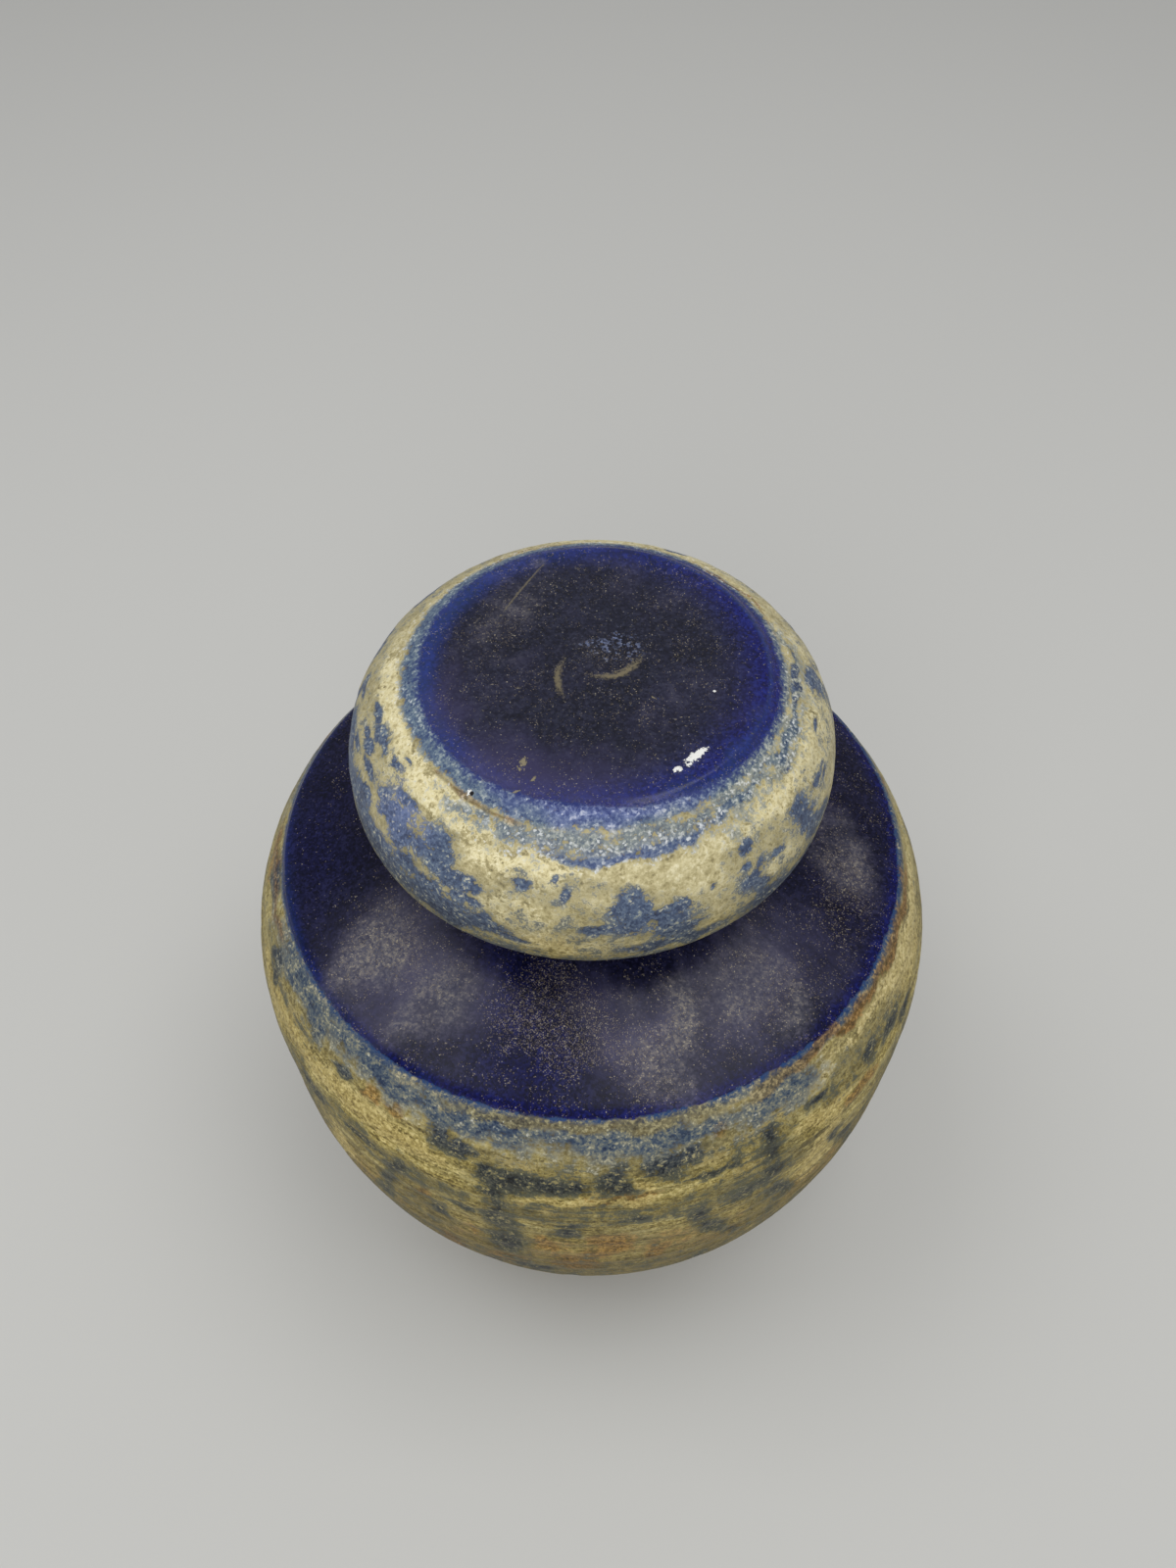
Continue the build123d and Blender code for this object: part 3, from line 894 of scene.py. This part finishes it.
# %% Throw the two pots
def throw(name, outline, **inputs):
    """Runs the wheel on an outline and returns the plain mesh that comes off it."""
    modifier = outline.modifiers.new("wheel", "NODES")
    modifier.node_group = wheel
    for title, value in inputs.items():
        modifier[wheel_sockets[title.replace("_", " ")]] = value
    evaluated = outline.evaluated_get(bpy.context.evaluated_depsgraph_get())
    mesh = bpy.data.meshes.new_from_object(evaluated)
    outline.modifiers.remove(modifier)
    bpy.data.objects.remove(outline)
    mesh.name = name
    while None in list(mesh.materials):
        mesh.materials.pop(index=list(mesh.materials).index(None))
    triangles = sum(len(p.vertices) - 2 for p in mesh.polygons)
    print(name, len(mesh.vertices), "vertices,", triangles, "triangles,", [m.name for m in mesh.materials])
    return put(name, mesh)


jar = throw("jar_thrown", jar_outline, Steps_round=384, Ridge_pitch=5.2, Out_of_round=0.002,
            Out_of_round_turn=0.0, Seed=3, Outside=jar_glaze, Inside=inside_glaze, Clay=bare_clay)
lid = throw("lid_thrown", lid_outline, Steps_round=480, Ridge_pitch=4.1, Out_of_round=0.006,
            Out_of_round_turn=0.9, Seed=8, Outside=lid_glaze, Inside=inside_glaze, Clay=bare_clay)

# %% [markdown]
# The glaze is painted with dabs. A dab is an oval on the surface: where it is round the pot, in degrees from
# the right-hand side, how far it lies below the glazed edge, and its half width and half height, in
# millimetres. A field is one in the middle of a dab, a half at its rim and nothing at twice its size, and
# the ragged edge group cuts it at a half. The front is painted after the picture, and the back, which isn't
# seen there, has dabs of the same kind.

# %% Painting with dabs
noise.seed_set(5)  # without it the wander would be a new one each time


def strongest(*fields):
    """The highest of several fields at each place."""
    return reduce(np.maximum, fields)


def apart(angles, angle):
    """Degrees from an angle, at most half a turn either way."""
    return (angles - angle + 180) % 360 - 180


def along_across(dx, dy, turn):
    """How far places lie along a direction in plan, and across it."""
    a = radians(turn)
    return dx * cos(a) + dy * sin(a), dy * cos(a) - dx * sin(a)


def oval_field(across, up, wide, high):
    """One at the middle of an oval, a half at its rim and nothing at twice its size."""
    return np.clip(1 - 0.5 * np.hypot(across / wide, up / high), 0, 1)


class Surface:
    """The places of a piece's vertices, for painting: millimetres, degrees and length along the wall."""

    def __init__(self, piece, sway):
        self.mesh = piece.data
        self.fields = {}
        self.place = self.read(self.mesh.vertices, "co", 3).reshape(-1, 3) / MM
        self.run = self.read(self.mesh.attributes["run"].data, "value")
        self.radius = np.hypot(self.place[:, 0], self.place[:, 1])
        self.around = np.degrees(np.arctan2(self.place[:, 1], self.place[:, 0]))
        self.wander = self.waves((5.0, 2.0), (1.9, 0.9))
        self.sway = self.wander + self.waves((11.0, sway))

    def read(self, items, key, size=1):
        """Values that Blender keeps for each vertex."""
        values = np.zeros(len(self.mesh.vertices) * size)
        items.foreach_get(key, values)
        return values

    def waves(self, *kinds):
        """Smooth random shifts: waves of one or more kinds, each a size and a height in millimetres."""
        return np.array([sum((noise.noise_vector(Vector(p) / size) * height for size, height in kinds),
                             Vector()) for p in self.place])

    def dab(self, around, run, wide, high, lean=0.0):
        """One oval dab; lean moves it sideways by so many millimetres for each one further down."""
        across, down = np.radians(apart(self.around, around)) * self.radius, self.run - run
        small = min(1.0, 0.2 * (wide + high))
        across = across - lean * down + small * self.wander[:, 0]
        return oval_field(across, down + small * self.wander[:, 2], wide, high)

    def many(self, dabs):
        """The strongest of several dabs at each place."""
        return strongest(*(self.dab(*one) for one in dabs))

    def thin(self, level, dabs):
        """An even low field over dabs, for glaze that doesn't cover: it breaks up into islands."""
        return level * np.minimum(1, 2 * self.many(dabs))

    def spot(self, x, y, wide, high, turn=0.0):
        """One oval dab placed in plan, from above."""
        dx, dy = self.place[:, 0] - x + self.sway[:, 0], self.place[:, 1] - y + self.sway[:, 1]
        return oval_field(*along_across(dx, dy, turn), wide, high)

    def spots(self, least, *rows):
        """The strongest of several spots, each times its weight, and nowhere under the least value."""
        return strongest(least, *(weight * self.spot(*row) for weight, *row in rows))

    def changing(self, *stops):
        """A value that changes round the pot, from stops of degrees and value."""
        return np.interp(self.around, *zip(*stops))

    def keep(self, **fields):
        """Stores fields on the mesh for the glaze to read."""
        for name, values in fields.items():
            values = np.ascontiguousarray(values, dtype=np.float32)
            self.mesh.attributes.new(name, "FLOAT", "POINT").data.foreach_set("value", values)
            self.fields[name] = values.astype(float)


def step_down(values, low, high):
    """One below the first value, nothing above the second, smooth between them."""
    t = np.clip((values - low) / (high - low), 0, 1)
    return 1 - t * t * (3 - 2 * t)


def hump(values):
    """One at zero, and next to nothing at two."""
    return np.exp(-values**2)


def scattered(seed, count, around, run, wide, high, lean=0.0):
    """Dabs thrown at random within ranges, the same each time for a seed."""
    draw = np.random.default_rng(seed)
    ranges = (around, run, wide, high, (-lean, lean))
    return [tuple(draw.uniform(*limits) for limits in ranges) for _ in range(count)]


jar_skin, lid_skin = Surface(jar, sway=6.0), Surface(lid, sway=1.0)
print("lid run goes from", round(lid_skin.run.min(), 1), "to", round(lid_skin.run.max(), 1), "mm")

# %% Dabs on the lid
lid_slate = [
    (-170, 7.3, 2.8, 0.7), (-161, 8, 2.8, 0.9), (-166, 9.9, 1.8, 0.5), (-151, 7.1, 1.5, 0.5),
    (-147.5, 5.5, 1.6, 0.35), (-158, 11.4, 2.4, 1), (-167, 12.4, 2.2, 0.8), (-141, 9.2, 2.4, 1.1),
    (-143, 12.4, 3.2, 2), (-138, 14.2, 3.2, 1.8), (-148.5, 10.8, 1.4, 1.4), (-153, 14.4, 2.4, 1.2),
    (-127.5, 11, 4.2, 2.7), (-125, 13.6, 4.2, 2.6), (-132, 13.8, 2.6, 1.4), (-135, 17, 3, 1.6),
    (-118, 14.2, 1.9, 1.8), (-120, 17, 2.2, 1.2), (-116, 16.8, 1.6, 0.9), (-106, 11.2, 1.5, 0.8),
    (-96, 12.3, 0.7, 1.3), (-98.5, 9.8, 0.5, 0.4), (-82, 14.8, 2.8, 2.2), (-82, 17.4, 3.2, 2.2),
    (-89, 17, 2.8, 0.8), (-76, 17.4, 4.4, 2.2), (-71, 15.6, 2.4, 0.8), (-73, 19.8, 4.8, 1.6),
    (-72, 22.8, 9, 1.6), (-63, 14.2, 0.5, 0.4), (-52, 11, 1.4, 1.3), (-54, 13.8, 1, 0.6),
    (-52, 16.6, 2.2, 2.4), (-49.5, 20, 2.6, 2.8), (-45, 16.2, 1.8, 0.7), (-47, 23, 3.6, 2.4),
    (-34, 14, 2.3, 2.8), (-33.5, 14.6, 3, 3), (-32, 17.8, 2.6, 1.8), (-24, 13, 2.6, 0.6), (-2, 5, 12, 0.6),
    (-162, 10, 1.4, 1), (-20, 14.2, 1, 0.5), (-28, 20, 4, 1.8), (-30, 7, 1.8, 0.5), (-165, 18.5, 15, 4.6),
    (-148, 20.5, 12, 5), (-154, 15, 2, 1.4), (-126, 20.6, 9.5, 3.2), (-129, 17.6, 3.4, 1),
    (-112, 20.2, 4, 2.2), (-107, 21.6, 3, 0.8), (-35, 24.4, 17, 2.4), (-172, 14.6, 5, 2.4),
    (-12, 9.2, 2, 0.5), (-100, 33, 60, 8.5), (60, 33, 60, 8.5),
]
lid_slate += scattered(21, 40, (2, 178), (7, 22), (1.0, 4.2), (0.6, 3.2), 0.2)
lid_thin_slate = [
    (-160, 10.6, 12, 3.8), (-137, 14.4, 11, 4), (-116, 18, 8, 5), (-106, 11.4, 3.4, 1.8), (-82, 18, 11, 4.4),
    (-50, 13, 5, 4), (-46, 19, 9, 5), (-33, 15.5, 5, 4), (-22, 13, 7, 2), (-30, 7.2, 4, 1.2),
    (60, 14, 50, 6), (140, 12, 25, 6), (-95, 11.8, 5, 2),
]
print("dabs of slate on the lid:", len(lid_slate), "and thin ones:", len(lid_thin_slate))

# %% The lid's fields
skin, run, changing = lid_skin, lid_skin.run, lid_skin.changing
band_foot = changing((-180, 3.1), (-135, 2.9), (-110, 3.6), (-70, 3.5), (-30, 3.9), (40, 3.4), (120, 3.2),
                     (180, 3.1))
pool_foot = changing((-180, -0.5), (-130, -0.15), (-90, -0.3), (-55, 1.4), (-20, 2.3), (40, 1.6), (90, 0.9),
                     (140, -0.2), (180, -0.5))
ring_width = changing((-180, 1.6), (-110, 1.8), (-30, 4.8), (60, 4.2), (120, 2.4), (180, 1.6))
thin_line = hump((run - pool_foot + 1.7) / 0.35) * changing((-60, 0), (-35, 0.8), (60, 0.9), (80, 0))
brown_line = hump((run - band_foot - 0.1) / 0.6) * changing(
    (-146, 0), (-139, 0.66), (-124, 0.78), (-110, 0.6), (-100, 0))
skin.keep(
    slate=strongest(skin.many(lid_slate), skin.thin(0.42, lid_thin_slate)),
    rust=strongest(brown_line, skin.many([(40, 3.8, 9, 0.5), (110, 3.4, 7, 0.4)])),
    # Several pale dabs are painted light: on the upper left side (-142, -172), the right side (-18, 0) and
    # the low front (-98).
    light=skin.many([
        (-142, 5.8, 20, 2.8), (-172, 5.6, 8, 2.2), (-104, 9, 6, 2.2), (-18, 10, 10, 4.4),
        (-43, 18.2, 3.4, 1.4), (-108, 15.5, 4, 2.4), (-98, 20.5, 8, 2.8), (0, 12, 12, 5), (-40, 9, 8, 2),
        (80, 8, 20, 2)]),
    band=strongest(
        0.5 - 0.28 * (run - band_foot),
        skin.many([(-88, 6.9, 9, 1), (-73, 6.7, 8, 1.1), (-50, 6, 8, 0.9), (-24, 5.2, 10, 1.1)]),
        skin.thin(0.5, [(-94, 5.4, 18, 2.4), (-50, 5.6, 16, 2.6), (-18, 5.4, 18, 2.6)]),
        skin.thin(0.6, [(-92, 4.8, 18, 1.5), (-64, 4.8, 10, 1.3)])).clip(0, 1),
    cobalt=(0.5 - 0.3 * (run - pool_foot)).clip(0, 1),
    ring=hump(np.minimum(0, run - pool_foot + 0.9) / ring_width),
    haze=skin.spots(0.12, (0.44, -12, 11, 6, 11, -35), (0.7, -7.4, 21.8, 1.6, 1.3), (0.45, 2, 3, 6, 5)),
    dust=skin.spots(0.3, (0.54, -12, 10, 8, 12, -35), (0.7, 3, 3, 5, 3.5)),
    crystals=strongest(
        1.15 * skin.many([
            (-109, 4.8, 11, 1.3), (-103, 6.9, 8, 1.4), (-82, 8.1, 15, 0.9), (-86, 4.8, 16, 1.5),
            (-62, 5.8, 12, 1.8), (-24, 6.4, 10, 1.2), (-50, 5.4, 14, 1.8), (-24, 5, 11, 1.6),
            (100, 3.6, 60, 1.2)]),
        # The dab at (-95, 0.5) is a painted glint on the front edge of the bevel.
        0.7 * skin.many([(-95, 0.5, 12, 0.6), (-165, 2, 16, 1.2), (-120, 2.6, 10, 0.7)]),
    ) + 1.3 * skin.spot(3.3, 4, 4.5, 2.6),
    teal=strongest(
        thin_line, skin.many([(-168, 1, 28, 14), (150, 1, 24, 14), (-50, 0.8, 9, 1.3)])).clip(0, 1),
    # The violet dabs at the front edge of the bevel are a painted glint; the others are lilac glaze.
    violet=skin.many([(-96, 0.4, 9, 0.9), (-84, 1.2, 10, 1.3), (-141, 11.8, 4.4, 3)])
    + 0.5 * skin.dab(-82, 7, 10, 1.2),
    shade=strongest(0.6 * (1 - step_down(run, 15, 25)), 0.9 * skin.dab(-97, 24, 7, 6)),
    # Painted reflection: a milky sheen over the whole flat top, strongest towards its front edge.
    milk=skin.spots(0.3, (1, -8, -21, 16, 7, -12), (0.8, -20, -8, 4, 12)),
)
print("lid fields:", list(skin.fields))

# %% Dabs on the jar
jar_slate = [
    (-158, 7.8, 2.6, 3.2), (-156, 11, 1.4, 2.2), (-150, 5.5, 4, 1.8), (-141, 5.6, 3, 2.6),
    (-133, 8.3, 2, 1.5), (-114, 8.6, 2.4, 2.6), (-110.5, 9.8, 2.4, 1.6), (-106, 13, 2.6, 2.2),
    (-101, 13.2, 4.2, 2.1), (-96, 12.8, 4.2, 2.1), (-92, 12.6, 2.4, 2), (-104, 15, 3, 1.4),
    (-86.6, 11.4, 3.2, 3.6), (-85.5, 13.6, 2.6, 1.8), (-79, 9.4, 4.4, 3), (-74.5, 8.6, 3, 2.2),
    (-72, 13.4, 3.6, 0.9), (-68, 14.2, 1.8, 0.6), (-105, 17.5, 2.2, 2), (-94, 28.6, 2, 3.2),
    (-94, 25, 3.2, 1.2), (-110, 26.8, 1.8, 1.5), (-115, 34, 1.7, 2.6), (-128, 21.5, 4, 1.6),
    (-73.5, 28, 2.9, 4.2, 0.15), (-62, 11, 1.9, 2.4), (-33, 12.4, 3.4, 1.8), (-39, 10.8, 2.4, 1.4),
    (-52, 9.5, 2, 1.1), (-27, 14.6, 3, 1.4), (-141, 22, 3, 2.4), (-171, 3.6, 5, 2.2), (-84, 22.5, 4, 1.2),
    (-171, 4.8, 4, 1.4), (-115, 3.6, 2.6, 2.6), (-72, 3.8, 1.6, 2), (-134, 3, 3, 1.4),
]
jar_slate += scattered(5, 30, (0, 180), (8, 17), (1.5, 4.5), (1.2, 4.0), 0.2)
# Drips are long, and weaker than patches.
jar_drips = [
    (-104.5, 25, 3.4, 10), (-103.8, 38, 4, 10.5), (-122, 24, 2.4, 5.4, -0.2), (-124.5, 33, 2, 7.4, -0.25),
    (-126, 42, 2, 5.4, -0.1), (-71, 34, 3, 5, 0.4), (-67.5, 41, 1.9, 5, 0.3), (-62, 15, 2.6, 4.6),
    (-61.5, 21.5, 2.2, 4.6), (-58.5, 33, 2.4, 8, 0.25), (-65, 24, 2.8, 2.8), (-48, 25, 2.1, 4.4, 0.25),
    (-44.5, 33, 2, 6.4, 0.35), (-41, 41, 2, 4.4, 0.2), (-150, 32, 3.2, 10, -0.3), (-20, 34, 3.4, 11, 0.2),
]
jar_drips += scattered(6, 34, (0, 180), (16, 50), (1.9, 3.6), (4.0, 14.0), 0.3)
jar_drips += scattered(7, 30, (-180, 180), (48, 85), (1.9, 4.2), (5.0, 14.0), 0.3)
jar_thin_slate = [
    (-150, 7.6, 14, 3.8), (-126, 22, 17, 4), (-88, 21.5, 17, 3.6), (-97, 10.8, 11, 3.4), (-66, 10.5, 9, 4),
    (-66, 22, 9, 6), (-40, 10, 12, 3.6), (-61, 36, 4, 9), (-118, 36, 5, 8), (-146, 30, 8, 12),
    (-28, 34, 12, 14), (90, 20, 90, 16), (-90, 70, 190, 22),
]
jar_rust = [
    (-22, 2.2, 14, 1.8), (-46, 1.4, 20, 1), (-90, 1.3, 24, 1.2), (-165, 4, 7, 1.6), (-177, 4.5, 6, 3),
    (-126.5, 8, 1.5, 1.8), (-122.5, 7.2, 1.4, 2), (-128.5, 9.2, 1, 1), (-114, 6.6, 0.8, 0.8),
    (-117, 28, 1.8, 2.2), (-116, 30.5, 1.2, 1), (-70, 6, 1, 1.6), (-86, 15.6, 5.6, 0.7),
    (-91, 17.9, 12, 0.3), (-43, 16.6, 4.4, 1.8), (-88, 32.5, 3.4, 3.6), (-97, 35, 2.4, 3),
    (-80, 41, 3.2, 3.8), (-88, 38.5, 3, 3.2), (-67, 42, 1.4, 3), (-93, 46, 4.4, 6), (-104, 52, 5, 7),
]
jar_rust += scattered(8, 30, (-180, 180), (34, 82), (2.0, 5.0), (2.0, 9.0), 0.2)
jar_rust += scattered(9, 12, (5, 175), (1, 12), (2.0, 7.0), (0.7, 1.6))
jar_light = [
    (-91, 16.6, 12, 0.8), (-66, 16.2, 3.8, 1.4), (-89.6, 14.2, 1, 1.2), (-82, 13.4, 1.5, 1.4),
    (-32, 4.9, 15, 1.2), (-127, 13.2, 14, 2.8), (-149, 12.8, 13, 3.8), (-90, 1.4, 27, 1.8),
    (-12, 5.2, 8, 1.4), (-49, 29, 3, 6), (-52, 28, 3.4, 8), (-101, 9.2, 4, 1.3), (-63, 8, 5, 1.6),
    (-52, 14.5, 4.2, 2.2), (-49, 22, 2.2, 6), (-72, 10.2, 2.6, 1.4), (-22, 8.4, 11, 3.4), (-138, 36, 4, 9),
    (-97, 20, 3, 1), (-55, 5.4, 6, 1.2),
]
jar_light += scattered(10, 18, (0, 180), (8, 60), (3.0, 8.0), (1.5, 9.0))
print("dabs on the jar:", len(jar_slate + jar_drips + jar_thin_slate + jar_rust + jar_light))

# %% The jar's fields
skin, run = jar_skin, jar_skin.run
pool_foot = skin.changing(
    (-180, 1.3), (-150, 0.6), (-110, 0.2), (-60, -0.2), (0, -0.2), (90, 0.6), (180, 1.3))
near_foot = step_down(skin.place[:, 2], 4.5, 9.5)
# The far left of the shoulder, where no sheen is painted and less dust lies.
no_sheen_left = skin.spot(-47, -4, 7, 17)
skin.keep(
    slate=strongest(skin.many(jar_slate), 0.84 * skin.many(jar_drips), skin.thin(0.44, jar_thin_slate)),
    rust=strongest(skin.many(jar_rust), near_foot * 0.7, 0.42 * (1 - step_down(run, 20, 36))),
    light=skin.many(jar_light),
    band=strongest(
        skin.many([(-148, 3.6, 16, 4), (-126, 3.4, 14, 3.2), (-108, 3.6, 15, 4), (-84, 4.2, 20, 3.5),
                   (-60, 4, 9, 3.2), (60, 3, 40, 3.4), (140, 3.2, 30, 3.6)]),
        0.8 * step_down(run, 0.5, 3.5)),
    cobalt=(0.5 - 0.35 * (run - pool_foot)).clip(0, 1),
    # The deep spot at (-8, -44) is a painted dark reflection, the gap between the two sheens.
    ring=(hump(np.minimum(0, run - pool_foot + 0.5) / 1.3) + 0.65 * skin.spot(-8, -44, 5, 9)
          + 0.7 * skin.spot(-14, -33, 4, 4) + 0.3 * skin.spot(-47, -6, 5, 14)).clip(0, 1),
    # Haze is tan crystal haze, and on the shoulder also a painted sheen where soft reflections lie; it is
    # taken out in the painted dark gap at (-7, -43) and at the far left.
    haze=skin.spots(
        0.14, (1.1, -34, -27, 6, 6, -30), (0.95, -24, -34, 4, 6), (1.15, 12, -39, 4.6, 6.5),
        (0.9, 30, -38, 4, 5), (0.8, 42, -8, 5, 8), (0.8, 24, -31, 9, 6, 40), (0.75, 15, 42, 12, 8),
        (0.75, -25, 36, 9, 7)) - 0.5 * strongest(skin.spot(-7, -43, 4, 8), no_sheen_left),
    dust=skin.spots(
        0.31, (2, -5, -38, 8, 5, -20), (0.9, 8, -41, 8, 6), (0.8, -32, -26, 8, 7), (0.85, 41, -14, 6, 10),
        (0.7, 28, -34, 10, 6, 40), (0.6, -44, 6, 4, 12), (0.7, 10, 42, 20, 7)) - 0.3 * no_sheen_left,
    crystals=0.62 * skin.many([(-104, 3.6, 40, 2.6), (-150, 3, 12, 2), (-66, 4.6, 14, 2.4), (60, 3, 40, 2)]),
    teal=0.6 * skin.many([(-165, 0.4, 22, 1.6), (-122, 3.6, 20, 2), (-84, 5.6, 16, 1.8), (150, 1.5, 26, 3)]),
    violet=0 * run,
    shade=0.7 + 0.3 * (1 - step_down(run, 4, 14)),
    # Painted sheen: soft reflections on the shoulder at the front left and front right, with a painted dark
    # gap between them at (-8, -43), and less at the far left.
    milk=skin.spots(0.25, (1, -29, -29, 12, 9, -30), (1, 8, -39, 9, 7), (0.9, 26, -30, 15, 9, 40),
                    (0.6, 42, -8, 6, 14)) - 0.6 * skin.spot(-8, -43, 4, 8) - 0.3 * no_sheen_left,
)
print("jar fields:", list(skin.fields))

# %% [markdown]
# Thick glaze stands proud of thin glaze, and a chip is a shallow pit. So the same fields and
# marks also move the mesh outwards or inwards by up to a quarter of a millimetre, and the glaze
# isn't only painted on. The two finger arcs at the middle of the lid are raised the same way.

# %% Relief of the glaze
PATCH_RISE, ROLL_RISE, GRAIN_RISE, ARC_RISE = 0.10, 0.14, 0.045, 0.16
CHIP_DEPTH = 0.28
MOST_RISE = 0.2
DISC_RUN = 3.5


def relief_of(skin):
    """Height of the glaze in millimetres, from its fields."""
    slate, cobalt = skin.fields["slate"], skin.fields["cobalt"]
    rise = PATCH_RISE * np.clip((slate - 0.35) / 0.3, 0, 1)
    roll = ROLL_RISE * hump((cobalt - 0.62) / 0.16)
    grain = np.array([noise.noise(Vector(p) / 1.6) for p in skin.place])
    return rise + roll + GRAIN_RISE * grain * (1 - cobalt)


def press(skin, heights):
    """Moves the glazed outside along its normals by heights in millimetres."""
    outside = np.zeros(len(skin.run), dtype=bool)
    for face in skin.mesh.polygons:
        if face.material_index == 0:
            outside[list(face.vertices)] = True
    normals = skin.read(skin.mesh.vertices, "normal", 3).reshape(-1, 3)
    moved = skin.place + normals * (heights * outside)[:, None]
    skin.mesh.vertices.foreach_set("co", (moved * MM).ravel())
    skin.mesh.update()
    lowest, highest = heights[outside].min(), heights[outside].max()
    print(skin.mesh.name, "relief", round(lowest, 2), "to", round(highest, 2), "mm")


chips = arcs = np.zeros(len(lid_skin.run))
for x, y, half_length, half_width, turn, _ in LID_CHIPS:
    along, across = along_across(lid_skin.place[:, 0] - x, lid_skin.place[:, 1] - y, turn)
    span = np.hypot(along / half_length, across / half_width)
    chips = np.maximum(chips, step_down(span, 0.7, 1.5) * min(CHIP_DEPTH, 0.4 * half_width))
for _, _, x, y, radius, angle, half_length, *_ in FINGER_ARCS:
    dx, dy = lid_skin.place[:, 0] - x, lid_skin.place[:, 1] - y
    swing = np.radians(apart(np.degrees(np.arctan2(dy, dx)), angle))
    span = np.hypot((np.hypot(dx, dy) - radius) / 0.7, swing * radius / (half_length + 1.0))
    arcs = np.maximum(arcs, step_down(span, 0.2, 1.4))
on_disc = lid_skin.run < DISC_RUN
lid_rise = relief_of(lid_skin) + np.where(on_disc, ARC_RISE * arcs - chips, 0)
press(lid_skin, np.where(on_disc, np.minimum(lid_rise, MOST_RISE), lid_rise))
press(jar_skin, relief_of(jar_skin))

# %% [markdown]
# Each piece moves with its own part of the imported model: the lid with the body that lifts off.
# The dressed pieces stand for the plain solids, which stay hidden and carry the weight and touch.

# %% Ride and replace
for piece, node in ((jar, "jar"), (lid, "lid")):
    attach(piece, node)
    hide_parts(node)
